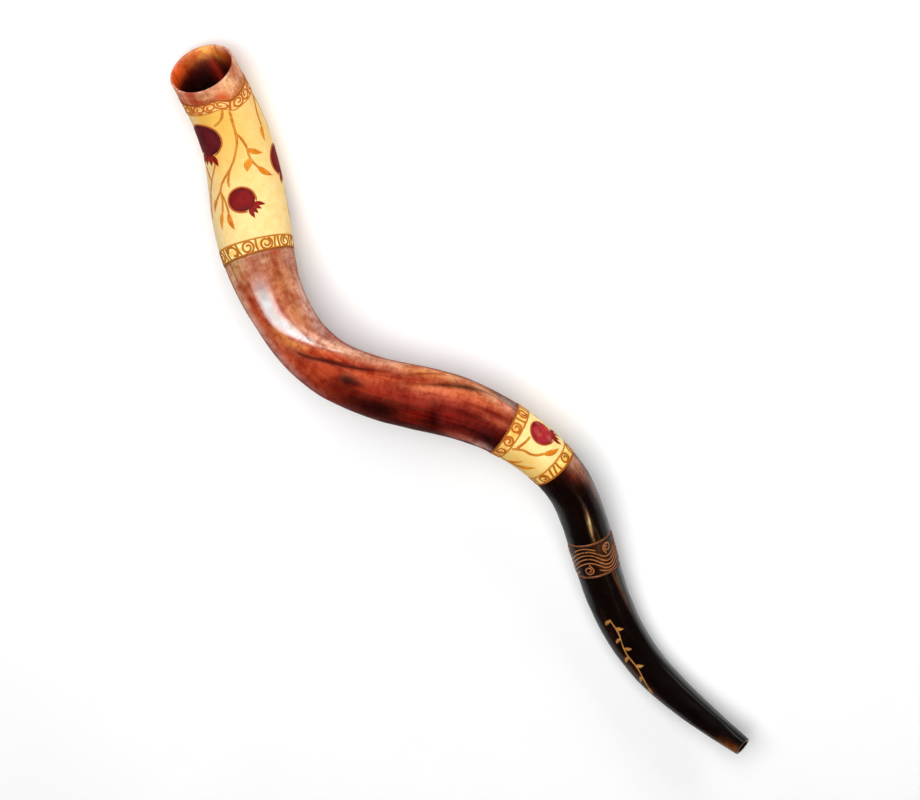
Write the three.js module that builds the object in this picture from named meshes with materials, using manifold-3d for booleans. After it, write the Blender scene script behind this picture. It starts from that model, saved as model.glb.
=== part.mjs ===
// A long kudu-horn shofar: one twisted natural horn, hollow from the bell to the mouthpiece,
// with two pale lacquered bands of pomegranates and vines, a dark scroll band and an inlaid
// vine near the mouthpiece. Every coat and inlay is a separate solid let into the horn.
//
// Millimetres, +Z up. The horn lies on its side on the plane z = 0, with its bell towards +X.
// Places on the horn are given as a distance from the bell rim along its centreline, and as
// an angle, or an arc in mm, around it from straight up, positive towards +Y at mid-length.

import * as THREE from 'three';
import { mergeVertices } from 'three/addons/utils/BufferGeometryUtils.js';
import Module from 'manifold-3d';

const wasm = await Module();
wasm.setup();

// ---------------------------------------------------------------- driving dimensions

// The horn's centreline and outer radius: x, y, z, radius, from the bell to the mouthpiece.
const GUIDE_POINTS = [
  [407, -36.5, 52, 31.8], [329.5, -15.5, 26.9, 32], [262.5, 28.5, 45, 39.5], [189.5, 53.5, 73, 26],
  [109.5, 52.5, 84, 27], [36.5, -4.5, 75, 31.5], [-11.5, -41.5, 71, 27.5], [-109.5, -64.5, 52, 22],
  [-180.5, -27.5, 30, 22], [-264.5, 8.5, 17, 19.5], [-340.5, 7.5, 20, 17], [-424.5, -19.5, 40, 9.5],
];

const SIDES = 24; // facets around the horn
const BARE_STEP = 24; // longest facet along bare horn
const BAND_STEP = 16; // longest facet along a band
const TIP_STEP = 18; // longest facet near the mouthpiece
const BORE_STEP = 40; // longest facet along the bore

const GAP = 0.3; // clearance around every let-in piece
const COAT = 1.3; // thickness of a lacquered band
const RECESS = COAT + GAP; // depth of the seat that a band lies in
const INLAY = 0.45; // thickness of an inlay
const INLAY_SINK = 0.1; // an inlay's top lies a little below the surface
const GROOVE = INLAY_SINK + INLAY + GAP; // depth of an inlay's groove
const CLEAR_ABOVE = 3; // how far a groove's cutter reaches above the surface

const RIM_WALL = 2.2; // wall at the bell rim
const BODY_WALL = 3.8; // wall behind the first band
const RIM_TILT = THREE.MathUtils.degToRad(17); // the rim is sawn aslant
const RIM_TURN = THREE.MathUtils.degToRad(-15); // and cut back most on this side
const RIM_SHEAR = 40; // length over which the slant fades out
const BORDER_CLIMB = 8; // the bell's upper border lies this much further back on one side,
const CLIMB_AROUND = [5, 35, 120, 180]; // between these angles towards -Y, in degrees,
const CLIMB_ALONG = [0, 12, 40, 75]; // and between these distances from the rim
const RIM_ROUNDING = 0.5;
const HOLLOW_LENGTH = 640; // natural hollow, before the drilled bore starts
const DRILL_RADIUS = 2.6;
const CUP_RADIUS = 6.8; // mouthpiece cup at the lips
const CUP_DEPTH = 13;
const MOUTH_ROUNDING = 0.8;

const KEEL_HEIGHT = 1.6; // the horn's twisted ridge on the body
const KEEL_ALONG = [194, 256, 424, 487];
const TIP_KEEL_HEIGHT = 0.8; // and near the mouthpiece
const TIP_KEEL_ALONG = [690, 760, 860, 900];
const KEEL_SPREAD = 15; // half-width of the ridge in degrees
const KEEL_GROOVE_OFFSET = 22; // degrees from the ridge to the hollow beside it
const KEEL_GROOVE_SHARE = 0.4; // depth of that hollow against the ridge's height

const BELL_BAND = { start: 15.5, end: 192, upperBorder: 16.5, lowerBorder: 14.5 };
const MID_BAND = { start: 491, end: 556, upperBorder: 12.5, lowerBorder: 12 };
const TIP_BAND = { start: 635.5, end: 674, ring: 2.6 };

const STEM_WIDTH = 1.8;
const SCROLL_WIDTH = 1.6;
const VINE_WIDTH = 1.3;

// ---------------------------------------------------------------- colours

const paint = (color, roughness) => new THREE.MeshStandardMaterial({ color, roughness, metalness: 0 });
const hornBrown = paint(0x7a3a24, 0.25);
const ivory = paint(0xf3dc9c, 0.3);
const borderOchre = paint(0xe6b455, 0.35);
const pomegranateRed = paint(0x8a1f16, 0.35);
const vineOrange = paint(0xc9742a, 0.4);
const bandBlack = paint(0x241812, 0.3);
const copperLine = paint(0xa5652f, 0.4);

// ---------------------------------------------------------------- the horn's centreline

const guide = GUIDE_POINTS.map((values) => new THREE.Vector4(...values));
const beyond = (end, inner) => end.clone().multiplyScalar(2).sub(inner);
const knots = [beyond(guide[0], guide[1]), ...guide, beyond(guide.at(-1), guide.at(-2))];

/** Point and radius on the uniform cubic B-spline; u runs from 0 to the last guide point. */
function splineAt(u) {
  const first = Math.min(Math.floor(u), guide.length - 2);
  const t = u - first;
  const weights = [
    (1 - t) ** 3, 3 * t ** 3 - 6 * t ** 2 + 4, -3 * t ** 3 + 3 * t ** 2 + 3 * t + 1, t ** 3,
  ];
  const point = new THREE.Vector4(0, 0, 0, 0);
  weights.forEach((weight, k) => point.addScaledVector(knots[first + k], weight / 6));
  return point;
}

const place = (point) => new THREE.Vector3(point.x, point.y, point.z);

const SAMPLES = 2000;
const sampleAt = (k) => ((guide.length - 1) * k) / SAMPLES;
const lengths = [0];
for (let k = 1; k <= SAMPLES; k += 1) {
  const step = place(splineAt(sampleAt(k))).distanceTo(place(splineAt(sampleAt(k - 1))));
  lengths.push(lengths[k - 1] + step);
}
const LENGTH = lengths.at(-1);

/** Spline parameter at a distance from the bell rim. */
function parameterAt(distance) {
  const next = Math.min(Math.max(lengths.findIndex((length) => length >= distance), 1), SAMPLES);
  const share = (distance - lengths[next - 1]) / (lengths[next] - lengths[next - 1]);
  return sampleAt(next - 1 + THREE.MathUtils.clamp(share, 0, 1));
}

/** Centre, radius and section axes at a distance from the bell rim. */
function sectionAt(distance) {
  const u = parameterAt(distance);
  const reach = 0.01;
  const before = place(splineAt(Math.max(u - reach, 0)));
  const after = place(splineAt(Math.min(u + reach, guide.length - 1)));
  const along = after.sub(before).normalize();
  const up = new THREE.Vector3(0, 0, 1).addScaledVector(along, -along.z).normalize();
  const side = new THREE.Vector3().crossVectors(along, up);
  const point = splineAt(u);
  return { centre: place(point), radius: point.w, along, up, side };
}

// ---------------------------------------------------------------- the horn's surface

const fade = (value, from, to) => THREE.MathUtils.smoothstep(value, from, to);

/** Rises from 0 to 1 over the first two of four values, and falls back over the last two. */
const plateau = (value, [start, full, easing, end]) => (
  fade(value, start, full) * (1 - fade(value, easing, end)));

/** Angle of the twisted ridge from straight up, in degrees. */
const keelAngle = (distance) => -11 - 56 * fade(distance, 242, 381) + 11 * fade(distance, 476, 615);

/** Height that the ridge, with the shallow hollow beside it, adds to the radius. */
function keelSwell(distance, angle) {
  const body = KEEL_HEIGHT * plateau(distance, KEEL_ALONG);
  const tip = TIP_KEEL_HEIGHT * plateau(distance, TIP_KEEL_ALONG);
  const degrees = THREE.MathUtils.radToDeg(angle) - keelAngle(distance);
  const away = THREE.MathUtils.euclideanModulo(degrees + 180, 360) - 180;
  const ridge = Math.exp(-((away / KEEL_SPREAD) ** 2));
  const hollow = Math.exp(-(((away - KEEL_GROOVE_OFFSET) / KEEL_SPREAD) ** 2));
  return (body + tip) * (ridge - KEEL_GROOVE_SHARE * hollow);
}

/** How far the surface's rings slide along the horn to follow the slanted rim and border. */
function slide(distance, angle, radius) {
  const slant = Math.tan(RIM_TILT) * Math.cos(angle - RIM_TURN) * (1 - fade(distance, 0, RIM_SHEAR));
  const turned = THREE.MathUtils.euclideanModulo(-THREE.MathUtils.radToDeg(angle), 360);
  const climb = BORDER_CLIMB * plateau(turned, CLIMB_AROUND) * plateau(distance, CLIMB_ALONG);
  return radius * slant + climb;
}

/** Point at a distance from the rim, an angle from straight up and a radius. */
function pointAt(distance, angle, radius, section = sectionAt(distance)) {
  return section.centre.clone()
    .addScaledVector(section.up, radius * Math.cos(angle))
    .addScaledVector(section.side, radius * Math.sin(angle))
    .addScaledVector(section.along, slide(distance, angle, radius));
}

/** A ring of points a given height above or below the horn's outer surface. */
function outerRing(distance, height = 0) {
  const section = sectionAt(distance);
  return Array.from({ length: SIDES }, (_, k) => {
    const angle = (2 * Math.PI * k) / SIDES;
    const radius = section.radius + keelSwell(distance, angle) + height;
    return pointAt(distance, angle, radius, section);
  });
}

/** Radius of the hollow: a closing natural cavity, then a drilled bore. */
function boreRadius(distance) {
  const wall = THREE.MathUtils.lerp(RIM_WALL, BODY_WALL, fade(distance, 0, BELL_BAND.start));
  const closing = Math.sqrt(Math.max(1 - (distance / HOLLOW_LENGTH) ** 2, 0));
  return Math.max((sectionAt(distance).radius - wall) * closing, DRILL_RADIUS);
}

function boreRing(distance, radius = boreRadius(distance)) {
  const section = sectionAt(distance);
  return Array.from({ length: SIDES }, (_, k) =>
    pointAt(distance, (2 * Math.PI * k) / SIDES, radius, section));
}

/** Evenly spaced distances from one end of a stretch to the other. */
function stations(from, to, longest) {
  const count = Math.ceil((to - from) / longest);
  return Array.from({ length: count + 1 }, (_, k) => from + ((to - from) * k) / count);
}

// ---------------------------------------------------------------- solids

/** A closed solid whose skin runs through the rings in turn and back to the first. */
function solidFromRings(rings) {
  const corners = rings.flat().flatMap((point) => point.toArray());
  const faces = [];
  rings.forEach((_, ring) => {
    const here = ring * SIDES;
    const next = ((ring + 1) % rings.length) * SIDES;
    for (let side = 0; side < SIDES; side += 1) {
      const turn = (side + 1) % SIDES;
      faces.push(here + side, here + turn, next + turn, here + side, next + turn, next + side);
    }
  });
  return solidFrom(corners, faces);
}

function solidFrom(corners, faces) {
  const geometry = new THREE.BufferGeometry();
  geometry.setAttribute('position', new THREE.Float32BufferAttribute(corners, 3));
  geometry.setIndex(faces);
  const merged = mergeVertices(geometry, 1e-5);
  const mesh = new wasm.Mesh({
    numProp: 3,
    vertProperties: Float32Array.from(merged.attributes.position.array),
    triVerts: Uint32Array.from(merged.index.array),
  });
  return new wasm.Manifold(mesh);
}

function meshFrom(name, solid, material) {
  const { vertProperties, triVerts } = solid.getMesh();
  const geometry = new THREE.BufferGeometry();
  geometry.setAttribute('position', new THREE.BufferAttribute(vertProperties, 3));
  geometry.setIndex(new THREE.BufferAttribute(triVerts, 1));
  geometry.computeVertexNormals();
  const mesh = new THREE.Mesh(geometry, material);
  mesh.name = name;
  return mesh;
}

/** A ring-shaped shell between two heights over the horn's surface, through given distances. */
function sleeve(distances, top, bottom) {
  const outer = distances.map((distance) => outerRing(distance, top));
  const inner = distances.map((distance) => outerRing(distance, bottom)).reverse();
  return solidFromRings([...outer, ...inner]);
}

// ---------------------------------------------------------------- flat outlines
// An outline lies in the unrolled surface: x is the arc around the horn, y the distance
// from the bell rim, both in mm. It runs anticlockwise as seen from outside.

const flat = (distance, arc) => new THREE.Vector2(arc, distance);

/** The outline moved outward by a margin, with mitred corners. */
function widened(outline, margin) {
  const count = outline.length;
  return outline.map((corner, k) => {
    const back = corner.clone().sub(outline[(k + count - 1) % count]).normalize();
    const ahead = outline[(k + 1) % count].clone().sub(corner).normalize();
    const bisector = new THREE.Vector2(back.y + ahead.y, -back.x - ahead.x);
    const reach = Math.max(bisector.lengthSq() / 2, 0.4);
    return corner.clone().addScaledVector(bisector, margin / reach);
  });
}

/** An outline turned by a heading from the +distance direction, then moved to its place. */
function placed(outline, distance, arc, heading) {
  const turn = THREE.MathUtils.degToRad(-heading);
  const centre = new THREE.Vector2();
  return outline.map((corner) => corner.clone().rotateAround(centre, turn).add(flat(distance, arc)));
}

/** Triangles between the two sides of an outline that runs up one side and down the other. */
function rungs(count, shared) {
  const last = 2 * count + 1 - 2 * shared;
  return Array.from({ length: count }, (_, k) => {
    const [left, leftNext] = [(last - k + shared) % (last + 1), last - k - 1 + shared];
    return [[k, k + 1, leftNext], [k, leftNext, left]];
  }).flat().filter((face) => new Set(face).size === 3);
}

/** A strip of even width along a smooth line. */
function strip(points, width, spacing = 9) {
  const line = new THREE.SplineCurve(points.map(([distance, arc]) => flat(distance, arc)));
  const count = Math.max(2, Math.ceil(line.getLength() / spacing));
  const side = (shift) => Array.from({ length: count + 1 }, (_, k) => {
    const across = line.getTangentAt(k / count).rotateAround(new THREE.Vector2(), Math.PI / 2);
    return line.getPointAt(k / count).addScaledVector(across, shift);
  });
  return { outline: [...side(-width / 2), ...side(width / 2).reverse()], lid: rungs(count, 0) };
}

/** A pointed leaf or bud that starts at its foot. */
function leaf([distance, arc, heading, length, width]) {
  const steps = 3;
  const side = (sign) => Array.from({ length: steps + 1 }, (_, k) => {
    const share = k / steps;
    return new THREE.Vector2((sign * width * Math.sin(Math.PI * share ** 0.8)) / 2, length * share);
  });
  const outline = [...side(1), ...side(-1).slice(1, -1).reverse()];
  return { outline: placed(outline, distance, arc, heading), lid: rungs(steps, 1) };
}

/** A round fruit with a three-pointed crown on the side that its heading points to. */
function pomegranate([distance, arc, heading, radius]) {
  const neck = 0.4; // half the angle that the crown takes of the round
  const [start, end] = [Math.PI / 2 + neck, Math.PI / 2 - neck + 2 * Math.PI];
  const body = new THREE.EllipseCurve(0, 0, radius, radius, start, end);
  const corner = (x, y) => new THREE.Vector2(x * radius, y * radius);
  const crown = [corner(0.5, 1.42), corner(0.2, 1.2), corner(0, 1.5), corner(-0.2, 1.2), corner(-0.5, 1.42)];
  const outline = placed([...body.getPoints(12), ...crown], distance, arc, heading);
  return { outline, centre: flat(distance, arc) };
}

/** A slab over an outline, between two heights above the horn's surface. A slab with a centre
 *  gets a ring of points half-way to it, so that a wide one follows the horn's curve. */
function slab({ outline, centre, lid }, low, high) {
  const count = outline.length;
  const corners = [...outline];
  const faces = [];
  let triangles = lid;
  if (centre) {
    corners.push(...outline.map((corner) => corner.clone().lerp(centre, 0.5)), centre);
    triangles = outline.flatMap((_, k) => {
      const next = (k + 1) % count;
      const inner = next + count;
      return [[k, next, inner], [k, inner, k + count], [k + count, inner, 2 * count]];
    });
  }
  const levels = [low, high].map((height) => corners.map(({ x, y }) => {
    const section = sectionAt(y);
    return pointAt(y, x / section.radius, section.radius + height, section);
  }));
  triangles.forEach(([a, b, c]) => {
    faces.push(c, b, a, a + corners.length, b + corners.length, c + corners.length);
  });
  for (let k = 0; k < count; k += 1) {
    const next = (k + 1) % count;
    faces.push(k, next, next + corners.length, k, next + corners.length, k + corners.length);
  }
  return solidFrom(levels.flat().flatMap((point) => point.toArray()), faces);
}

const joined = (solids) => solids.reduce((whole, solid) => whole.add(solid));

/** Sets inlays into a host solid, each in a groove of its own shape with clearance around it. */
function letIn(host, inlays) {
  let rest = host;
  const meshes = inlays.map(({ name, outlines, material }) => {
    const grooves = outlines.map((shape) => (
      slab({ ...shape, outline: widened(shape.outline, GAP) }, -GROOVE, CLEAR_ABOVE)));
    rest = rest.subtract(joined(grooves));
    const pieces = outlines.map((outline) => slab(outline, -INLAY - INLAY_SINK, -INLAY_SINK));
    return meshFrom(name, joined(pieces), material);
  });
  return { rest, meshes };
}

/** A branching stem with its leaves and buds, in one piece. */
function spray({ stems, leaves = [] }) {
  return [...stems.map((points) => strip(points, STEM_WIDTH)), ...leaves.map(leaf)];
}

const numbered = (name, outlinesList, material) => outlinesList.map((outlines, k) => (
  { name: `${name}_${k + 1}`, outlines, material }));

// ---------------------------------------------------------------- the bell band
// Fruits: distance, arc, heading of the crown in degrees from the distance direction
// towards positive arc, radius. Leaves: distance, arc, heading, length, width.

const BELL_FRUITS = [
  [62.5, 25, 8, 18.5], [136.5, -1.5, -48, 11.8], [102, -52, -20, 12],
  [121, 74, 25, 13], [62, -98, -10, 12.5], [145, -92, 30, 11],
];

const BELL_SPRAYS = [
  { stems: [[[34, -6], [41, -3.5], [45, 1], [48, 7]]] },
  {
    stems: [
      [[35, -12], [47, -10.5], [61, -9.5], [72, -8], [82, -4.5], [93, 0], [102, 5], [113, 8.5], [121, 9]],
      [[101, 4.5], [108, 10], [116, 16], [124, 19.5], [133, 26.5]],
      [[123, 19], [134, 18.5], [147, 20.5]],
      [[125, 19], [137, 15], [148, 13]],
      [[62, -9.5], [70, -12.5], [80, -15], [90, -15.5], [97, -17], [106, -22.5]],
    ],
    leaves: [
      [131, 25, 29, 15, 4.6], [145, 20, 13, 18, 5], [147, 13.5, -14, 19, 5.6],
      [83, -15, -60, 18, 5.4], [104, -21, -54, 20, 6], [94, -16.3, 22, 15, 7.5],
    ],
  },
  {
    stems: [[[34, -50], [47, -42], [58, -40], [68, -40]], [[35, -49.5], [44, -55], [60, -58], [78, -58]]],
    leaves: [[67, -40, 9, 16, 5.2]],
  },
  {
    stems: [[[94, 22], [103, 25], [112, 30.5], [124, 36], [138, 40]], [[96, 37], [104, 34], [112, 30.5]]],
    leaves: [[136, 39.5, 8, 15, 5]],
  },
  {
    stems: [[[34, 62], [56, 66], [80, 72], [105, 68]], [[56, 66], [66, 76], [84, 86]]],
    leaves: [[82, 85, 20, 13, 5], [46, 64, -40, 11, 5]],
  },
  {
    stems: [[[84, -84], [99, -80], [117, -84], [131, -88]], [[107, -81], [123, -72], [149, -66]]],
    leaves: [[147, -67, 10, 13, 5], [127, -71, 45, 11, 5]],
  },
];

// ---------------------------------------------------------------- the middle band

const MID_FRUITS = [[520, -24.5, -34, 11.3], [522, 50, 30, 8]];

const MID_SPRAYS = [
  {
    stems: [[[507, 5], [514, 1], [521, 0], [527, -3], [532, -9]], [[510, 3], [511, -7], [512, -12.5]]],
    leaves: [[531, -7.5, -59, 18, 5.4]],
  },
  {
    stems: [[[507, 27], [512, 26.5], [519, 23]]],
    leaves: [[510, 26, -55, 20, 4.2], [518, 23.5, -44, 24, 5]],
  },
  {
    stems: [[[507, 74], [518, 72], [530, 66], [539, 56]]],
    leaves: [[524, 70, 40, 12, 5], [512, 73, -70, 10, 4.5]],
  },
  {
    stems: [[[507, -52], [518, -52], [530, -46], [538, -38]]],
    leaves: [[522, -51, -40, 12, 5], [510, -52, 60, 9, 4.5]],
  },
];

// ---------------------------------------------------------------- the vine near the mouthpiece

const TIP_VINE = {
  stem: [[720, 4], [738, 2], [759, 6], [780, 6], [802, 13]],
  leaves: [
    [722, 4, 60, 8, 3.4], [731, 3, -60, 8, 3.4], [743, 2, 62, 8, 3.4], [754, 5, -58, 8, 3.4],
    [764, 6, 60, 8, 3.4], [775, 6, -55, 8, 3.4], [788, 8, 62, 8, 3.4], [800, 12, 15, 9, 3.6],
  ],
};

// ---------------------------------------------------------------- assembly

const object = new THREE.Group();

/** A band of two borders with a decorated panel between them. */
function decoratedBand(name, { start, end, upperBorder, lowerBorder }, inlays) {
  const panelStart = start + upperBorder + GAP;
  const panelEnd = end - lowerBorder - GAP;
  const pieces = [
    ['upper_border', stations(start + GAP, start + upperBorder, BAND_STEP), borderOchre],
    ['lower_border', stations(end - lowerBorder, end - GAP, BAND_STEP), borderOchre],
  ];
  pieces.forEach(([piece, distances, material]) => {
    object.add(meshFrom(`${name}_${piece}`, sleeve(distances, 0, -COAT), material));
  });
  const distances = stations(panelStart, panelEnd, BAND_STEP);
  const { rest, meshes } = letIn(sleeve(distances, 0, -COAT), inlays);
  object.add(meshFrom(`${name}_panel`, rest, ivory), ...meshes);
}

decoratedBand('bell', BELL_BAND, [
  ...numbered('bell_pomegranate', BELL_FRUITS.map((fruit) => [pomegranate(fruit)]), pomegranateRed),
  ...numbered('bell_spray', BELL_SPRAYS.map(spray), vineOrange),
]);

decoratedBand('mid', MID_BAND, [
  ...numbered('mid_pomegranate', MID_FRUITS.map((fruit) => [pomegranate(fruit)]), pomegranateRed),
  ...numbered('mid_spray', MID_SPRAYS.map(spray), vineOrange),
]);

/** The dark band: two thin rings with a sleeve of separate scrolls between them. */
function scrollBand({ start, end, ring }) {
  const rings = [
    ['tip_band_upper_ring', [start + GAP, start + ring]],
    ['tip_band_lower_ring', [end - ring, end - GAP]],
  ];
  rings.forEach(([name, distances]) => {
    object.add(meshFrom(name, sleeve(distances, 0, -COAT), copperLine));
  });
  const distances = stations(start + ring + GAP, end - ring - GAP, BAND_STEP);
  const middle = (start + end) / 2;
  const girth = 2 * Math.PI * sectionAt(middle).radius;
  const scrollCount = 5;
  const scrolls = Array.from({ length: scrollCount }, (_, k) => {
    const arc = (girth * (k + 0.5)) / scrollCount - girth / 2;
    const wave = [[-10, -9], [-5, -3], [-6, 4], [0, 6], [5, 2], [9, 7]];
    return [strip(wave.map(([along, around]) => [middle + along, arc + around]), SCROLL_WIDTH, 4)];
  });
  const inlays = numbered('tip_band_scroll', scrolls, copperLine);
  const { rest, meshes } = letIn(sleeve(distances, 0, -COAT), inlays);
  object.add(meshFrom('tip_band', rest, bandBlack), ...meshes);
}

scrollBand(TIP_BAND);

/** The seat of a band, between its two steps. */
const seat = ({ start, end }) => [
  outerRing(start),
  ...stations(start, end, BAND_STEP).map((distance) => outerRing(distance, -RECESS)),
];

const bare = (from, to, step) => stations(from, to, step).slice(0, -1).map((distance) => outerRing(distance));
const tipStations = stations(TIP_BAND.end, LENGTH - MOUTH_ROUNDING, TIP_STEP);

const hornOutside = [
  outerRing(0, -RIM_ROUNDING),
  ...bare(RIM_ROUNDING, BELL_BAND.start, TIP_STEP),
  ...seat(BELL_BAND),
  ...bare(BELL_BAND.end, MID_BAND.start, BARE_STEP),
  ...seat(MID_BAND),
  ...bare(MID_BAND.end, TIP_BAND.start, BARE_STEP),
  ...seat(TIP_BAND),
  ...tipStations.map((distance) => outerRing(distance)),
  outerRing(LENGTH, -MOUTH_ROUNDING),
];

/** The mouthpiece cup: a bowl from the lips down to the drilled bore. */
const cup = [0, 0.25, 0.55, 0.8, 0.95].map((share) => {
  const radius = THREE.MathUtils.lerp(DRILL_RADIUS, CUP_RADIUS, Math.sqrt(1 - share ** 2));
  return boreRing(LENGTH - CUP_DEPTH * share, radius);
});

const drilled = stations(HOLLOW_LENGTH, LENGTH - CUP_DEPTH, BORE_STEP).reverse();
const hollow = stations(0, HOLLOW_LENGTH, BORE_STEP).reverse().slice(1);
const hornInside = [...cup, ...[...drilled, ...hollow].map((distance) => boreRing(distance))];

const vineOutlines = [strip(TIP_VINE.stem, VINE_WIDTH), ...TIP_VINE.leaves.map(leaf)];
const vine = { name: 'tip_vine', outlines: vineOutlines, material: copperLine };
const carvedHorn = letIn(solidFromRings([...hornOutside, ...hornInside]), [vine]);
object.add(meshFrom('horn', carvedHorn.rest, hornBrown), ...carvedHorn.meshes);

export default object;
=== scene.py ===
import math

import bpy
import numpy as np
from mathutils import Matrix, Vector


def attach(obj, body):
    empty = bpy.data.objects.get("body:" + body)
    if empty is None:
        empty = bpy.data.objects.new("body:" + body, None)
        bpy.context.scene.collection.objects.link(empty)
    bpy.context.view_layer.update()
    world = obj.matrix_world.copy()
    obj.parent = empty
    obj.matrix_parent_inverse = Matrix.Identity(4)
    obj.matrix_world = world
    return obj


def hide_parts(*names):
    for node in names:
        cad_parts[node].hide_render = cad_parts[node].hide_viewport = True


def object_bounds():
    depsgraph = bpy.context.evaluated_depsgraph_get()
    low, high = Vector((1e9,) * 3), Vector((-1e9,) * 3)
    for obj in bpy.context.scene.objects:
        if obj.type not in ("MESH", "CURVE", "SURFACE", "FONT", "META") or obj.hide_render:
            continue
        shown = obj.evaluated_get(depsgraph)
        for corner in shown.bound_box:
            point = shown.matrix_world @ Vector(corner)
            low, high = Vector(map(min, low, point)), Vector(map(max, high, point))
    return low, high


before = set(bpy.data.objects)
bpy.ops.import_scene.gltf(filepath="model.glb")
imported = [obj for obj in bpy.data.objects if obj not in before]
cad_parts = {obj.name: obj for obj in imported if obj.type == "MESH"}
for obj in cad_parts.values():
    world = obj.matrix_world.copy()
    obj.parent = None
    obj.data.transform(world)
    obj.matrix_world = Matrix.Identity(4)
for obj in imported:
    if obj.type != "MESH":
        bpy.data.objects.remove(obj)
cad_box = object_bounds()

# A long twisted-horn shofar. Every surface is built on the part's own centreline. Places are
# given as in the part: a distance from the bell rim along the horn and an angle in degrees, or
# an arc in mm, around it from straight up. Lengths are in mm and become metres in make_mesh.

MM = 0.001

# ---------------------------------------------------------------- the part's dimensions

# The horn's centreline and outer radius: x, y, z, radius, from the bell to the mouthpiece.
# A separate program fitted these points to the photo's outline, with the slopes in depth
# chosen, and they were then adjusted and rounded. They aren't chosen by hand.
GUIDE = np.array([
    [407, -36.5, 52, 31.8], [329.5, -15.5, 26.9, 32], [262.5, 28.5, 45, 39.5], [189.5, 53.5, 73, 26],
    [109.5, 52.5, 84, 27], [36.5, -4.5, 75, 31.5], [-11.5, -41.5, 71, 27.5], [-109.5, -64.5, 52, 22],
    [-180.5, -27.5, 30, 22], [-264.5, 8.5, 17, 19.5], [-340.5, 7.5, 20, 17], [-424.5, -19.5, 40, 9.5],
])

GAP = 0.3  # clearance around every let-in piece
COAT = 1.3  # thickness of a lacquered band
RECESS = COAT + GAP  # depth of the seat that a band lies in

# The bell's sawn end slants, and the bell band's upper border climbs towards it on one side.
RIM_WALL = 2.2
BODY_WALL = 3.8
RIM_TILT = math.radians(17)
RIM_TURN = math.radians(-15)
RIM_SHEAR = 40  # how far along the horn the slant fades out
BORDER_CLIMB = 8
CLIMB_AROUND = (5, 35, 120, 180)
CLIMB_ALONG = (0, 12, 40, 75)
RIM_ROUNDING = 0.5

# The bore: hollow at first, then drilled, and a cup at the mouthpiece.
HOLLOW_LENGTH = 640
DRILL_RADIUS = 2.6
CUP_RADIUS = 6.8
CUP_DEPTH = 13
LIP_ROUNDING = 0.4
MOUTH_ROUNDING = 0.8
MOUTH_TILT = math.radians(9)
MOUTH_SHEAR = 30

# A ridge that twists around the horn, with a hollow beside it.
KEEL_HEIGHT = 1.6
KEEL_ALONG = (194, 256, 424, 487)
TIP_KEEL_HEIGHT = 0.8
TIP_KEEL_ALONG = (690, 760, 860, 900)
KEEL_SPREAD = 15
KEEL_GROOVE_OFFSET = 22
KEEL_GROOVE_SHARE = 0.4

BELL_BAND = dict(start=15.5, end=192, upper=16.5, lower=14.5)
MID_BAND = dict(start=491, end=556, upper=12.5, lower=12)
TIP_BAND = dict(start=635.5, end=674, ring=2.6)

# ---------------------------------------------------------------- places on the horn


def fade(value, start, end):
    """A smooth step from 0 at start to 1 at end."""
    share = np.clip((np.asarray(value, float) - start) / (end - start), 0, 1)
    return share * share * (3 - 2 * share)


def plateau(value, marks):
    """Rises from 0 to 1 over the first two marks, and falls back over the last two."""
    return fade(value, marks[0], marks[1]) * (1 - fade(value, marks[2], marks[3]))


def wrapped(degrees):
    """Angles brought between -180 and 180 degrees."""
    return (np.asarray(degrees, float) + 180) % 360 - 180


def near_angle(degrees, middle, spread):
    """A soft peak around one angle."""
    return np.exp(-((wrapped(degrees - middle) / spread) ** 2))


def spline(u):
    """Points and radii on the uniform cubic B-spline over the guide points."""
    knots = np.vstack([2 * GUIDE[0] - GUIDE[1], GUIDE, 2 * GUIDE[-1] - GUIDE[-2]])
    first = np.minimum(u.astype(int), len(GUIDE) - 2)
    t = (u - first)[:, None]
    weights = ((1 - t) ** 3, 3 * t ** 3 - 6 * t ** 2 + 4, -3 * t ** 3 + 3 * t ** 2 + 3 * t + 1, t ** 3)
    return sum(weight * knots[first + k] for k, weight in enumerate(weights)) / 6


SAMPLES = 4001
line = spline(np.linspace(0, len(GUIDE) - 1, SAMPLES))
steps = np.linalg.norm(np.diff(line[:, :3], axis=0), axis=1)
line_distance = np.concatenate([[0], np.cumsum(steps)])
line_tangent = np.gradient(line[:, :3], axis=0)
LENGTH = line_distance[-1]


def along_line(distance, column):
    return np.interp(distance, line_distance, column)


def radius_at(distance):
    return along_line(distance, line[:, 3])


def section_at(distance):
    """Centres and the along, up and side axes at distances from the bell rim."""
    distance = np.asarray(distance, float)
    centre = np.stack([along_line(distance, line[:, k]) for k in range(3)], axis=-1)
    along = np.stack([along_line(distance, line_tangent[:, k]) for k in range(3)], axis=-1)
    along /= np.linalg.norm(along, axis=-1, keepdims=True)
    up = np.array([0, 0, 1.0]) - along[..., 2:] * along
    up /= np.linalg.norm(up, axis=-1, keepdims=True)
    return centre, along, up, np.cross(along, up)


def keel_angle(distance):
    return -11 - 56 * fade(distance, 242, 381) + 11 * fade(distance, 476, 615)


def keel_swell(distance, degrees):
    """What the twisted ridge and the hollow beside it add to the radius."""
    height = KEEL_HEIGHT * plateau(distance, KEEL_ALONG)
    height = height + TIP_KEEL_HEIGHT * plateau(distance, TIP_KEEL_ALONG)
    away = wrapped(degrees - keel_angle(distance))
    ridge = np.exp(-((away / KEEL_SPREAD) ** 2))
    hollow = np.exp(-(((away - KEEL_GROOVE_OFFSET) / KEEL_SPREAD) ** 2))
    return height * (ridge - KEEL_GROOVE_SHARE * hollow)


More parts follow.
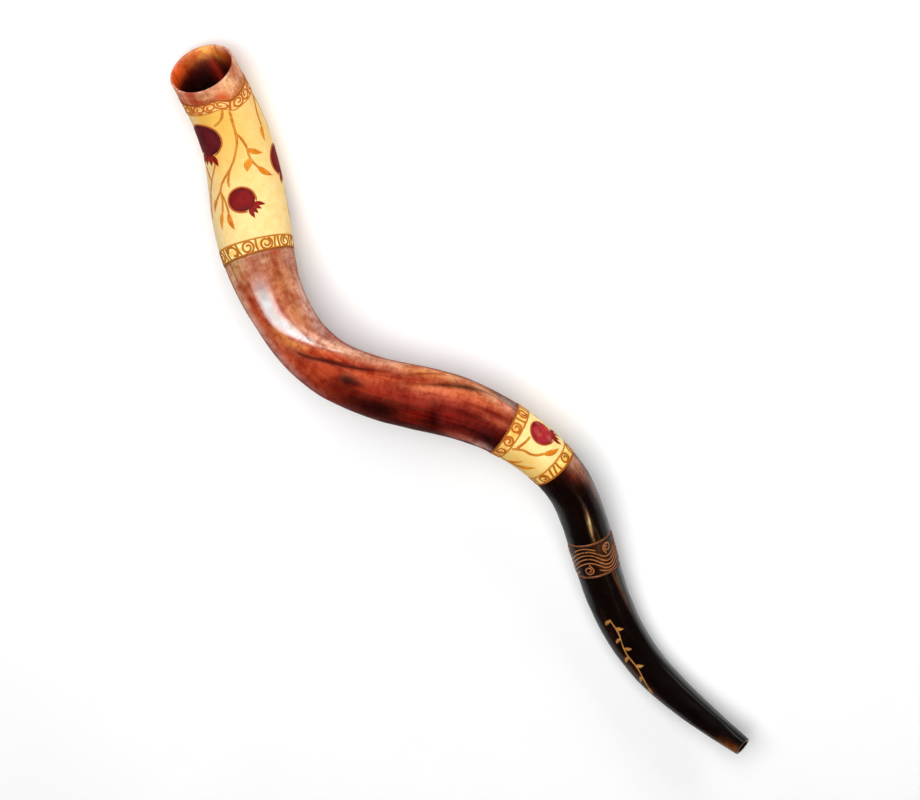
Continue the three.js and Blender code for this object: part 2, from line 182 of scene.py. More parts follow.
def slide(distance, degrees, radius):
    """How far the rings slide along the horn to follow the slanted ends and the climbing border."""
    turn = np.radians(degrees) - RIM_TURN
    slant = math.tan(RIM_TILT) * np.cos(turn) * (1 - fade(distance, 0, RIM_SHEAR))
    climb = BORDER_CLIMB * plateau(np.mod(-degrees, 360), CLIMB_AROUND) * plateau(distance, CLIMB_ALONG)
    near_mouth = fade(distance, LENGTH - MOUTH_SHEAR, LENGTH)
    cut = math.tan(MOUTH_TILT) * np.cos(np.radians(degrees)) * near_mouth
    return radius * (slant - cut) + climb


def place(distance, degrees, radius):
    """Points in mm at distances from the rim, angles from up and radii, all of one shape."""
    distance, degrees, radius = np.broadcast_arrays(distance, degrees, radius)
    centre, along, up, side = section_at(distance)
    angle = np.radians(degrees)[..., None]
    radius = radius[..., None]
    moved = slide(distance, degrees, radius[..., 0])[..., None]
    return centre + radius * (np.cos(angle) * up + np.sin(angle) * side) + moved * along


# ---------------------------------------------------------------- the horn's skin in detail

# Lines and flats follow the keel at an offset in degrees, and turn away from it by late over
# the distances bend. They reach along the horn over the four distances of a plateau.
GROOVE_LINE = dict(
    offset=31, late=-14, bend=(284, 318), spread=1.9, depth=0.35, along=(282, 296, 352, 380),
)
SECOND_RIDGE = dict(
    offset=-32, late=12, bend=(258, 280), spread=5, height=0.8, along=(248, 266, 318, 344),
)
# A flat is half degrees wide to each side, and becomes narrow over the distances taper.
SHOULDER = dict(
    offset=12, late=-21, bend=(248, 304), half=15, narrow=3, taper=(252, 298), along=(200, 226, 290, 316),
)
SIDE_FLAT = dict(
    offset=-9, late=0, bend=(440, 491), half=12, narrow=12, taper=(440, 491), along=(438, 460, 489, 491),
)
WAVES = (  # slow unevenness: height, wavelength along, waves around, phase
    (0.16, 83, 3, 0.4), (0.10, 47, 5, 1.9), (0.06, 29, 8, 3.1), (0.12, 140, 2, 5.0),
)


def line_angle(distance, line_spec):
    """Where a line of the skin runs, following the keel with a bend of its own."""
    start, end = line_spec["bend"]
    turn = line_spec["late"] * fade(distance, start, end)
    return keel_angle(distance) + line_spec["offset"] + turn


def flat_height(distance, degrees, flat):
    """A flat with crisp edges that stand a little proud of the round."""
    half = flat["half"] + (flat["narrow"] - flat["half"]) * fade(distance, *flat["taper"])
    off = np.abs(wrapped(degrees - line_angle(distance, flat)))
    level = np.cos(np.radians(half))
    drop = radius_at(distance) * (1 - level)
    chord = radius_at(distance) * (level / np.cos(np.radians(np.minimum(off, half))) - 1)
    shoulder = 0.5 * drop * np.exp(-((np.maximum(off - half, 0) / 7) ** 2))
    return plateau(distance, flat["along"]) * (chord * (off < half) + shoulder)


def skin_height(distance, degrees):
    """Fine shape that a real horn has over the part's smooth surface."""
    groove = near_angle(degrees, line_angle(distance, GROOVE_LINE), GROOVE_LINE["spread"])
    ridge = near_angle(degrees, line_angle(distance, SECOND_RIDGE), SECOND_RIDGE["spread"])
    height = -GROOVE_LINE["depth"] * groove * plateau(distance, GROOVE_LINE["along"])
    height = height + SECOND_RIDGE["height"] * ridge * plateau(distance, SECOND_RIDGE["along"])
    for flat in (SHOULDER, SIDE_FLAT):
        height = height + flat_height(distance, degrees, flat)
    bare = plateau(distance, (BELL_BAND["end"], BELL_BAND["end"] + 30, LENGTH - 30, LENGTH - 8))
    for depth, length, around, phase in WAVES:
        wave = np.sin(2 * np.pi * distance / length + around * np.radians(degrees) + phase)
        height = height + depth * bare * wave * radius_at(distance) / radius_at(300)
    for band in (MID_BAND, TIP_BAND):
        start, end = band["start"], band["end"]
        height = height * (1 - plateau(distance, (start - 14, start - 2, end + 2, end + 14)))
    return height


def outer_radius(distance, degrees, height=0.0):
    return radius_at(distance) + keel_swell(distance, degrees) + height


def bore_radius(distance):
    wall = RIM_WALL + (BODY_WALL - RIM_WALL) * fade(distance, 0, BELL_BAND["start"])
    closing = np.sqrt(np.maximum(1 - (distance / HOLLOW_LENGTH) ** 2, 0))
    return np.maximum((radius_at(distance) - wall) * closing, DRILL_RADIUS)


# ---------------------------------------------------------------- meshes


def linear(colour):
    """A colour written as six hex digits, as linear red, green and blue."""
    values = np.array([int(colour[k:k + 2], 16) for k in (0, 2, 4)]) / 255
    return np.where(values <= 0.04045, values / 12.92, ((values + 0.055) / 1.055) ** 2.4)


class Patchwork:
    """Collects surfaces, with their paint, into one mesh."""

    def __init__(self):
        self.points = []
        self.faces = []
        self.values = {}
        self.count = 0

    def add(self, points, faces, **values):
        points = points.reshape(-1, 3)
        self.points.append(points)
        self.faces.extend(tuple(int(corner) + self.count for corner in face) for face in faces)
        for key, value in values.items():
            self.values.setdefault(key, []).append(value.reshape(len(points), -1))
        self.count += len(points)


def grid_faces(rows, columns, loop_rows=False, loop_columns=False):
    """Quads of a grid of rows by columns of points, perhaps closed either way."""
    row = np.arange(rows if loop_rows else rows - 1)[:, None]
    column = np.arange(columns if loop_columns else columns - 1)[None, :]
    next_row = (row + 1) % rows
    next_column = (column + 1) % columns
    corners = [row * columns + column, row * columns + next_column,
               next_row * columns + next_column, next_row * columns + column]
    quads = [np.broadcast_to(corner, (row.size, column.size)) for corner in corners]
    return np.stack(quads, -1).reshape(-1, 4)


def make_mesh(name, patch, material, nodes, smooth_angle=50):
    """The piece as a Blender object that stands for its CAD nodes and rides on the root body."""
    mesh = bpy.data.meshes.new(name)
    points = np.concatenate(patch.points) * MM
    mesh.from_pydata(points.tolist(), [], patch.faces)
    kinds = {1: ("FLOAT", "value"), 3: ("FLOAT_VECTOR", "vector")}
    for key, parts in patch.values.items():
        values = np.concatenate(parts)
        kind, field = kinds[values.shape[1]]
        layer = mesh.attributes.new(key, kind, "POINT")
        layer.data.foreach_set(field, values.astype(np.float32).ravel())
    mesh.update()
    mesh.shade_smooth()
    mesh.set_sharp_from_angle(angle=math.radians(smooth_angle))
    mesh.materials.append(material)
    piece = bpy.data.objects.new(name, mesh)
    bpy.context.scene.collection.objects.link(piece)
    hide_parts(*nodes)
    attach(piece, "root")
    return piece


def grain_at(distance, degrees):
    """Coordinates in mm that run with the horn, for grain and mottling."""
    radius = radius_at(distance)
    angle = np.radians(degrees)
    return np.stack([distance, radius * np.cos(angle), radius * np.sin(angle)], -1)


# ---------------------------------------------------------------- materials


class Nodes:
    """Short names for the shader nodes that the materials use."""

    def __init__(self, name):
        self.material = bpy.data.materials.new(name)
        self.material.use_nodes = True
        self.tree = self.material.node_tree
        self.shader = self.tree.nodes["Principled BSDF"]

    def node(self, kind, **settings):
        made = self.tree.nodes.new(kind)
        for key, value in settings.items():
            setattr(made, key, value)
        return made

    def link(self, source, target):
        self.tree.links.new(source, target)

    def give(self, socket, value):
        """Links the value into a socket if it is a node's output, or else sets it."""
        if isinstance(value, bpy.types.NodeSocket):
            self.link(value, socket)
        else:
            socket.default_value = value

    def attribute(self, name, output="Fac"):
        return self.node("ShaderNodeAttribute", attribute_name=name).outputs[output]

    def grain(self, scale):
        """The horn's own coordinates, scaled along and across the grain."""
        mapping = self.node("ShaderNodeMapping")
        self.link(self.attribute("grain", "Vector"), mapping.inputs["Vector"])
        mapping.inputs["Scale"].default_value = (scale[0], scale[1], scale[1])
        return mapping.outputs["Vector"]

    def noise(self, scale, detail=3.0, roughness=0.55, warp=0.0):
        noise = self.node("ShaderNodeTexNoise")
        self.link(self.grain(scale), noise.inputs["Vector"])
        noise.inputs["Scale"].default_value = 1.0
        noise.inputs["Detail"].default_value = detail
        noise.inputs["Roughness"].default_value = roughness
        noise.inputs["Distortion"].default_value = warp
        return noise.outputs["Fac"]

    def span(self, value, low, high, to_low=0.0, to_high=1.0):
        span = self.node("ShaderNodeMapRange")
        self.link(value, span.inputs["Value"])
        ends = {"From Min": low, "From Max": high, "To Min": to_low, "To Max": to_high}
        for key, number in ends.items():
            span.inputs[key].default_value = number
        return span.outputs["Result"]

    def math(self, operation, first, second):
        made = self.node("ShaderNodeMath", operation=operation)
        self.give(made.inputs[0], first)
        self.give(made.inputs[1], second)
        return made.outputs["Value"]

    def mix(self, share, first, second, blend="MIX"):
        made = self.node("ShaderNodeMix", data_type="RGBA", blend_type=blend)
        self.give(made.inputs["Factor"], share)
        colours = [socket for socket in made.inputs if socket.type == "RGBA"]
        for socket, value in zip(colours, (first, second)):
            self.give(socket, value if isinstance(value, bpy.types.NodeSocket) else (*linear(value), 1))
        return next(socket for socket in made.outputs if socket.type == "RGBA")

    def bump(self, height, distance, strength, under=None):
        bump = self.node("ShaderNodeBump")
        self.link(height, bump.inputs["Height"])
        bump.inputs["Distance"].default_value = distance * MM
        bump.inputs["Strength"].default_value = strength
        if under is not None:
            self.link(under, bump.inputs["Normal"])
        return bump.outputs["Normal"]

    def finish(self, colour, roughness, normal, specular, coat=0.0, coat_roughness=0.1):
        shader = self.shader.inputs
        self.link(colour, shader["Base Color"])
        self.give(shader["Roughness"], roughness)
        self.link(normal, shader["Normal"])
        if coat:
            shader["Coat Weight"].default_value = coat
            shader["Coat Roughness"].default_value = coat_roughness
        shader["Specular IOR Level"].default_value = specular
        return self.material


LEAST_POLISH = 0.08  # bare horn with no clear gloss


def horn_material():
    """Polished horn: paint broken up by clouds, streaks and fine fibres, under a clear gloss."""
    n = Nodes("polished_horn")
    paint = n.attribute("paint", "Color")
    clouds = n.noise((0.042, 0.04), detail=5, roughness=0.64, warp=0.15)
    blots = n.noise((0.13, 0.12), detail=4, roughness=0.65, warp=0.2)
    streaks = n.noise((0.010, 0.22), detail=5, roughness=0.6, warp=0.5)
    upright = n.noise((0.12, 0.03), detail=4, roughness=0.65, warp=0.3)
    fibres = n.noise((0.07, 1.7), detail=3, roughness=0.6)
    deep = n.mix(1.0, paint, "b0654e", "MULTIPLY")
    warm = n.mix(1.0, paint, "c87c5c", "MULTIPLY")
    glow = n.mix(0.5, paint, n.mix(1.0, paint, "f4b06a", "DODGE"))
    colour = n.mix(n.span(clouds, 0.48, 0.66, 0.0, 0.85), paint, deep)
    colour = n.mix(n.span(blots, 0.47, 0.64, 0.0, 0.72), colour, warm)
    colour = n.mix(n.span(upright, 0.50, 0.68, 0.0, 0.45), colour, deep)
    colour = n.mix(n.span(streaks, 0.52, 0.70, 0.0, 0.60), colour, deep)
    colour = n.mix(n.span(streaks, 0.46, 0.30, 0.0, 0.22), colour, glow)
    shade = n.node("ShaderNodeCombineColor")
    fine = n.span(fibres, 0.3, 0.7, 0.94, 1.05)
    for socket in shade.inputs[:3]:
        n.link(fine, socket)
    colour = n.mix(1.0, colour, shade.outputs["Color"], "MULTIPLY")
    normal = n.bump(fibres, 0.03, 0.3)
    normal = n.bump(blots, 0.12, 0.25, normal)
    polish = n.attribute("polish")
    n.link(n.span(polish, LEAST_POLISH, 1), n.shader.inputs["Coat Weight"])
    uneven_polish = n.math("ADD", polish, n.span(blots, 0.35, 0.65, 0.12, -0.12))
    n.link(n.span(uneven_polish, 0, 1, 0.34, 0.07), n.shader.inputs["Coat Roughness"])
    n.link(n.bump(blots, 0.1, 0.3), n.shader.inputs["Coat Normal"])
    return n.finish(colour, n.span(blots, 0.3, 0.7, 0.34, 0.46), normal, specular=0.01)


def lacquer_material(name, shade, mottle_share, roughness, coat, speckle=0.0, bump=0.12):
    """Painted lacquer: the piece's paint with soft brushed mottling in a second shade."""
    n = Nodes(name)
    paint = n.attribute("paint", "Color")
    clouds = n.noise((0.09, 0.11), detail=4, roughness=0.6, warp=0.5)
    brushed = n.noise((0.5, 1.3), detail=3, roughness=0.65)
    grit = n.noise((2.4, 2.4), detail=2, roughness=0.6)
    tinted = n.mix(1.0, paint, shade, "MULTIPLY")
    colour = n.mix(n.span(clouds, 0.4, 0.72, 0.0, mottle_share), paint, tinted)
    colour = n.mix(n.span(brushed, 0.45, 0.75, 0.0, mottle_share * 0.7), colour, tinted)
    if speckle:
        colour = n.mix(n.span(grit, 0.5, 0.72, 0.0, speckle), colour, tinted)
    normal = n.bump(brushed, bump, 0.5)
    normal = n.bump(grit, bump * 0.5, 0.4, normal)
    uneven = n.span(brushed, 0.3, 0.7, roughness - 0.05, roughness + 0.08)
    return n.finish(colour, uneven, normal, coat=coat, coat_roughness=0.15, specular=0.04)


HORN = horn_material()
IVORY = lacquer_material("ivory_lacquer", "f4d598", 0.4, roughness=0.55, coat=0)
BORDER = lacquer_material("border_lacquer", "eebc6c", 0.6, roughness=0.5, coat=0, speckle=0.3)
LINES = lacquer_material("vine_lacquer", "c07830", 0.7, roughness=0.5, coat=0, speckle=0.4)
FRUIT = lacquer_material("pomegranate_lacquer", "9a4840", 0.8, roughness=0.6, coat=0, speckle=0.6)
DARK = lacquer_material("dark_lacquer", "5a4038", 0.7, roughness=0.3, coat=0.25)
COPPER = lacquer_material("copper_line", "8a5a3a", 0.7, roughness=0.32, coat=0.2, speckle=0.5, bump=0.2)

# ---------------------------------------------------------------- the horn's colours

# The colour along the horn's outside: distance from the rim, colour.
OUTSIDE = (
    (0, "e2a286"), (4, "dca07a"), (13, "cc7e54"), (192, "c08c6c"), (215, "c07e5a"), (240, "bc6c44"),
    (270, "b86440"), (300, "b05032"), (330, "a84226"), (360, "a03a24"), (400, "983424"), (440, "882a20"),
    (491, "74221c"), (556, "2c100a"), (574, "180a07"), (610, "100806"), (LENGTH, "0a0706"),
)
# The colour along the bore, painted light and shade: from orange at the rim, where light comes
# through, to dark deeper in.
INSIDE = (
    (0, "ecb49a"), (2, "c8502a"), (6, "8c2810"), (12, "48140b"), (20, "260b08"), (40, "120504"),
    (300, "100605"), (LENGTH - CUP_DEPTH, "0c0705"), (LENGTH - 0.25, "140b07"), (LENGTH, "a87a4c"),
)
# Broad painted shade, darker on the underside: colour, strength, plateau along the horn, a first angle and
# the plateau from it.
UNDERSIDE_SHADES = (
    ("3e1210", 0.8, (316, 352, 500, 520), -20, (0, 40, 140, 195)),
    ("5a2a1c", 0.6, (196, 240, 330, 360), 0, (50, 90, 240, 290)),
)
# Light and shade in the bell's mouth: colour, strength, angle, half angle, plateau along the horn.
MOUTH_SHADES = (
    ("f0601c", 0.9, 100, 45, (-10, 0, 4, 16)), ("ffb048", 0.9, -178, 34, (-10, 0, 2, 13)),
    ("7c1c12", 0.7, -80, 40, (-10, 0, 12, 50)), ("a02a18", 0.6, -168, 9, (4, 16, 60, 90)),
)
GROOVE_SHADE = dict(colour="3a0e06", strength=0.95, spread=3.6, along=(278, 294, 350, 384))
BODY_TINT = np.array([1, 0.93, 0.86])
BODY_TINT_ALONG = (270, 330, 500, 530)
# Soft dabs: distance, angle, half length, half angle, drift in degrees per mm, colour, strength.
# Many are the horn's own colour, and many are painted light, shade, highlights and reflections.
DABS = (
    # the rim: pale to the right, tan in front, red towards the border
    (6, -56, 12, 26, 0, "f6cfae", 0.85), (5, 4, 6, 16, 0, "d6a878", 0.8),
    (11, -24, 7, 14, 0, "c23c0c", 1.0), (13, 22, 5, 15, 0, "bc4e34", 0.85),
    (4, 40, 5, 12, 0, "e6a68c", 0.7), (14, 3, 3, 10, 0, "a4582c", 0.6), (7, 38, 10, 22, 0, "f09a6e", 0.6),
    (14, -58, 5, 26, 0, "ffbe68", 0.75), (4, -44, 4, 22, 0, "ffc47c", 0.6),
    # behind the bell band: tan, then red-orange to the left and mottled tan to the right, with
    # painted reflections, pale on the right-hand edge and mauve on the left-hand edge
    (198, 38, 10, 16, 0, "d2b27a", 0.9), (207, 24, 6, 7, 0, "b06a34", 0.6),
    (218, 46, 12, 10, 0, "d0a070", 0.6), (238, 30, 22, 14, -0.2, "bc4624", 0.85),
    (228, 32, 5, 5, 0, "90301a", 0.6), (203, 2, 8, 9, 0, "ac5440", 0.7),
    (196, -40, 9, 10, 0, "a8401e", 0.9), (200, -20, 8, 8, 0, "c09a7a", 0.6),
    (232, -34, 26, 9, 0, "b86e3a", 0.85), (216, -40, 8, 5, 0, "a0502a", 0.8),
    (250, -48, 20, 10, 0.1, "b87a4a", 0.75), (204, -68, 8, 12, 0, "c08478", 0.8),
    (226, -72, 20, 14, 0, "cc9474", 0.7), (262, -32, 12, 8, -0.3, "c8824e", 0.7),
    (286, -66, 30, 14, 0, "b8897e", 0.8), (330, -80, 24, 12, -0.2, "d4a898", 0.7),
    (262, 48, 30, 12, -0.1, "b4604e", 0.7), (304, 48, 24, 12, 0, "84484e", 0.7),
    # painted grey under the gloss of the shoulder, so that its highlight looks grey-white, and pale
    # tan at the bell band, on the left-hand edge a painted reflection
    (238, 2, 19, 13, 0, "74888c", 0.97), (262, -8, 14, 10, -0.9, "84989a", 0.95),
    (204, 52, 9, 9, 0, "f2c8a0", 0.6), (226, 52, 14, 8, 0, "f6caa6", 0.6),
    (205, -6, 8, 34, 0, "e2a682", 0.35),
    # the orange band above the groove line and the red flank below it, and a pale pink patch of
    # painted light higher on the upper side
    (272, 6, 16, 7, -0.9, "c07a26", 0.9), (300, -24, 26, 8, -1.0, "b8441a", 0.85),
    (328, -46, 22, 7, -0.6, "c45632", 0.8), (356, -60, 22, 8, -0.3, "dc8e6c", 0.8),
    (282, 30, 16, 10, -0.2, "c4583c", 0.8), (304, 10, 14, 8, -0.6, "b84420", 0.8),
    (314, 26, 12, 10, 0, "983018", 0.7), (332, 14, 12, 14, 0, "681410", 0.85),
    # two knots
    (322, -12, 15, 10, -0.3, "a83812", 0.75), (340, -12, 13, 17, 0, "6a1e0e", 0.85),
    (338, -11, 7, 10.5, 0, "30100a", 0.97), (338, -11, 5.6, 8.6, 0, "1c0804", 0.97),
    (349, -8, 5, 6.5, 0, "38120a", 0.9), (346, -30, 14, 6, -0.5, "b4502e", 0.6),
    # the dark underside, partly painted shade, with upright blotches
    (375, 24, 26, 20, 0, "200808", 0.95), (396, 34, 14, 16, 0, "340c0c", 0.8),
    (360, -6, 18, 5, -0.2, "942c18", 0.7), (424, 14, 7, 26, 0, "2a080c", 0.85),
    (406, 20, 5, 18, 0, "681614", 0.7), (440, 4, 6, 18, 0, "701a18", 0.6),
    (456, -8, 12, 10, 0, "581614", 0.75), (480, 26, 13, 20, 0, "240a0e", 0.9),
    (450, 42, 13, 9, 0, "a43c30", 0.8),
    # painted light on the upper side: orange, pink and gold, with a painted highlight of the window
    # and a painted grey reflection on the flat near the middle band
    (370, -34, 34, 10, -0.25, "c45c38", 0.9), (402, -34, 14, 7, 0, "d4845a", 0.85),
    (386, -64, 9, 16, 0, "e09a78", 0.8), (430, -34, 30, 8, -0.1, "b84a32", 0.75),
    (470, -46, 20, 8, 0, "b44e34", 0.8), (457, -53, 10, 5, 0, "c47a44", 0.75),
    (408, -76, 16, 12, -0.1, "d68e3c", 0.9), (436, -78, 22, 8, -0.1, "cc9050", 0.85),
    (476, -76, 14, 11, 0, "5c565a", 0.9),
    # more painted light over it, paler, and a painted grey reflection on the same flat
    (450, -46, 40, 15, -0.1, "dc7c52", 0.6), (335, -65, 26, 11, -0.3, "f0c0a0", 0.9),
    (366, -72, 20, 12, 0, "eab698", 0.85), (392, -78, 16, 12, 0, "ecb084", 0.8),
    (416, -74, 22, 10, 0, "e8a468", 0.8), (448, -76, 14, 12, 0, "dca87c", 0.85),
    (468, -62, 9, 10, 0, "e2a07c", 0.85), (484, -60, 6, 9, 0, "eaa488", 0.85),
    (482, -78, 9, 10, 0, "a09894", 0.9),
    # pale patches of painted reflection on both sides of the bend behind the bell, and painted
    # highlights along the second ridge
    (250, -62, 26, 14, 0, "e0a482", 0.75), (262, -80, 26, 13, 0, "d4b0a2", 0.75),
    (290, -72, 16, 12, 0, "caa298", 0.7), (284, -41, 16, 6.5, -0.9, "f2bc9c", 0.9),
    (306, -52, 13, 6, -0.8, "ecb898", 0.85), (248, -28, 22, 7, 0, "d89070", 0.7),
    (238, 54, 32, 10, 0, "dca890", 0.8), (276, 52, 30, 12, 0, "dca494", 0.75),
    # the lit edges towards the middle band
    (464, 46, 18, 9, 0, "c2705c", 0.85), (482, 50, 10, 10, 0, "b89a98", 0.85),
    # the painted reflection on the pale side beside the shoulder, and painted highlight lines along
    # its bright edge
    (245, -80, 40, 12, 0, "e0bcac", 0.55), (342, -69, 24, 10, -0.25, "ffdcc4", 0.6),
    (408, -64, 22, 8, -0.1, "ec9058", 0.6), (300, -50, 15, 8, -0.8, "ffdcc4", 0.7),
    (300, -39, 13, 2.6, -0.95, "fce8dc", 0.9), (315, -52, 11, 2.2, -0.85, "f6dccc", 0.85),
    # painted grey under the end of the shoulder's highlight, and light and dark along the groove
    # line, the dark as painted shade in it
    (278, -19, 12, 6, -0.95, "98a6a6", 0.92), (306, -17, 10, 4, -1.0, "56160a", 0.8),
    (320, -31, 14, 2.4, -0.7, "4a140a", 0.7), (282, -6, 10, 5, -0.9, "e8a066", 0.8),
    (301, -30, 8, 4, -0.9, "dc8660", 0.7),
    # last touches before the middle band: mostly painted light on the upper side and painted
    # reflections on both edges, with a painted highlight of the window and darker red below
    (448, -74, 16, 12, 0, "f4c094", 0.7), (466, -66, 9, 9, 0, "f0b890", 0.6),
    (402, 28, 12, 12, 0, "8a2a1c", 0.6), (480, -20, 12, 8, 0, "c46a4c", 0.6),
    (420, -36, 22, 15, 0, "ee9068", 0.4), (422, -76, 22, 10, 0, "f8b080", 0.4),
    (452, -28, 14, 9, 0, "d0603f", 0.4), (452, 53, 12, 8, 0, "e8a69c", 0.5),
    (479, 51, 9, 9, 0, "f2dade", 0.6), (475, -60, 8, 9, 0, "f6b494", 0.6),
    # long streaks
    (425, -50, 32, 3.4, -0.42, "50280f", 0.95), (447, -61, 16, 5, -0.4, "50341a", 0.9),
    (405, -62, 20, 3.2, -0.6, "84300f", 0.9), (402, -48, 14, 3, -0.1, "b03a24", 0.7),
    (470, -30, 22, 3, -0.2, "6e1d16", 0.6), (466, -31, 22, 3.5, -0.15, "862a1c", 0.8),
    (438, -22, 18, 3, -0.2, "8a2a1e", 0.7), (394, -12, 28, 2.6, -0.1, "86241a", 0.7),
    (416, -27, 20, 2.4, -0.15, "a03c24", 0.6), (376, -42, 24, 2.2, -0.2, "8e3018", 0.7),
    # behind the middle band: red-brown over black, with a painted highlight on the upper side
    (562, -36, 12, 14, 0, "582014", 0.8), (561, -64, 9, 20, 0, "dca484", 0.9),
    (570, -66, 9, 13, 0, "b08068", 0.8), (584, -70, 14, 10, 0, "946c5e", 0.7),
    (570, 20, 20, 30, 0, "0a0605", 0.9),
    # painted golden glints along the top of the black horn, and warm undertones lower on it
    (617, -18, 12, 4.5, 0.15, "a8845c", 0.5), (612, -20.5, 9, 2, 0.28, "ecd09a", 0.9),
    (623, -16.5, 11, 1.8, -0.1, "c09860", 0.8), (664, -40, 40, 3, -0.25, "6c5028", 0.7),
    (690, -54, 26, 3, -0.1, "6a5438", 0.7), (725, 24, 20, 6, 0, "2a140a", 0.7),
    (780, 36, 34, 7, 0, "4a2a14", 0.75), (812, 60, 30, 10, 0, "38180c", 0.6),
    # amber at the mouthpiece
    (903, 34, 13, 26, 0, "8a5a2a", 0.9), (898, 66, 18, 30, 0, "a0764c", 0.8),
    (903, 150, 12, 60, 0, "4e2c14", 0.8),
)


def stops_colour(stops, distance):
    """Colours along the horn, between the given stops."""
    at = [stop[0] for stop in stops]
    colours = np.array([linear(stop[1]) for stop in stops])
    return np.stack([np.interp(distance, at, colours[:, k]) for k in range(3)], -1)


def ground(colour, places):
    """One colour at every place."""
    return np.broadcast_to(linear(colour), (*places.shape, 3))


def blend(colours, other, share):
    """Colours mixed with another by a share at each place."""
    share = np.asarray(share)[..., None]
    return colours * (1 - share) + linear(other) * share


def horn_paint(distance, degrees):
    """The outside's painted colour before streaks and mottling, with painted light and shade in it."""
    colours = stops_colour(OUTSIDE, distance)
    # painted shade on the underside
    for colour, strength, along, first, around in UNDERSIDE_SHADES:
        share = strength * plateau(distance, along) * plateau(np.mod(degrees - first, 360), around)
        colours = blend(colours, colour, share)
    # dabs of colour, many of them painted light, shade, highlights and reflections
    for at, angle, length, spread, drift, colour, strength in DABS:
        away = wrapped(degrees - angle - drift * (distance - at))
        share = np.exp(-(((distance - at) / length) ** 2) - (away / spread) ** 2)
        colours = blend(colours, colour, strength * share)
    groove = near_angle(degrees, line_angle(distance, GROOVE_LINE), GROOVE_SHADE["spread"])
    groove = groove * plateau(distance, GROOVE_SHADE["along"])
    colours = blend(colours, GROOVE_SHADE["colour"], GROOVE_SHADE["strength"] * groove)
    red = plateau(distance, BODY_TINT_ALONG)[..., None]
    return colours * (1 - red + red * BODY_TINT)


def polish_at(distance, degrees):
    """How mirror-like the outside is: best on the shoulder behind the bell and on the dark end."""
    away = np.abs(wrapped(degrees - line_angle(distance, SHOULDER)))
    reach = 16 - 9 * fade(distance, 250, 300)
    shoulder = plateau(distance, (203, 244, 288, 326)) * np.exp(-((away / reach) ** 4))
    worn = plateau(distance, (628, 646, 706, 726)) * near_angle(degrees, -20, 12)
    dark_end = 0.34 * fade(distance, 540, 600) * (1 - 0.6 * worn)
    bright_side = 0.4 * plateau(-wrapped(degrees), (52, 74, 100, 130)) * fade(distance, 556, 590)
    return LEAST_POLISH + 0.72 * shoulder + bright_side + dark_end


def bore_paint(distance, degrees):
    """The bore's painted colour, with painted light glowing at the bell's mouth and painted shade deeper in.
    """
    colours = stops_colour(INSIDE, distance)
    for colour, strength, middle, spread, along in MOUTH_SHADES:
        share = near_angle(degrees, middle, spread) * plateau(distance, along)
        colours = blend(colours, colour, strength * share)
    return colours


# ---------------------------------------------------------------- the horn

AROUND = 192
FINE_STEP = 1.7
HIDDEN_STEP = 12
BORE_POLISH = 0.2
ring_angles = np.arange(AROUND) * 360 / AROUND


def evenly(start, end, longest):
    count = max(1, math.ceil((end - start) / longest))
    return np.linspace(start, end, count + 1)


def seat_rings(start, end):
    """Rings under a band, a step down from the skin."""
    return [(start, 0.0)] + [(at, -RECESS) for at in evenly(start, end, HIDDEN_STEP)] + [(end, 0.0)]


def skin_rings(start, end, step=FINE_STEP):
    return [(at, 0.0) for at in evenly(start, end, step)[1:-1]]


def rounded_edge(rounding, count=5):
    """Rings over a rounded edge, from the end inwards: distance from the end, and height."""
    angles = np.linspace(math.pi / 2, 0, count)
    return [(rounding * (1 - math.sin(angle)), -rounding * (1 - math.cos(angle))) for angle in angles]


def horn_rings():
    """Distance and height over the skin of every ring outside the horn, from the rim."""
    rings = rounded_edge(RIM_ROUNDING)
    bare_from = RIM_ROUNDING
    for band in (BELL_BAND, MID_BAND, TIP_BAND):
        rings += skin_rings(bare_from, band["start"]) + seat_rings(band["start"], band["end"])
        bare_from = band["end"]
    rings += skin_rings(bare_from, LENGTH - MOUTH_ROUNDING, 2.2)
    return rings + [(LENGTH - at, height) for at, height in rounded_edge(MOUTH_ROUNDING)[::-1]]


def bore_rings():
    """Distance and radius of every ring inside the horn, from the mouthpiece to the rim."""
    lip = [(LENGTH - share * LIP_ROUNDING, CUP_RADIUS + left * LIP_ROUNDING)
           for share, left in ((0, 1), (0.3, 0.3), (0.7, 0))]
    shares = np.sin(np.linspace(0, 1, 12)[1:-1] * math.pi / 2)
    widening = CUP_RADIUS - DRILL_RADIUS
    cup = [(LENGTH - CUP_DEPTH * share, DRILL_RADIUS + widening * math.sqrt(1 - share ** 2))
           for share in shares]
    deep = evenly(200, LENGTH - CUP_DEPTH, 22)[::-1]
    near = evenly(RIM_ROUNDING, 200, 3.6)[:-1][::-1]
    bore = [(at, float(bore_radius(at))) for at in (*deep, *near)]
    rim_bore = float(bore_radius(0))
    edge = [(0.3 * RIM_ROUNDING, rim_bore + 0.3 * RIM_ROUNDING), (0.0, rim_bore + RIM_ROUNDING)]
    return lip + cup + bore + edge


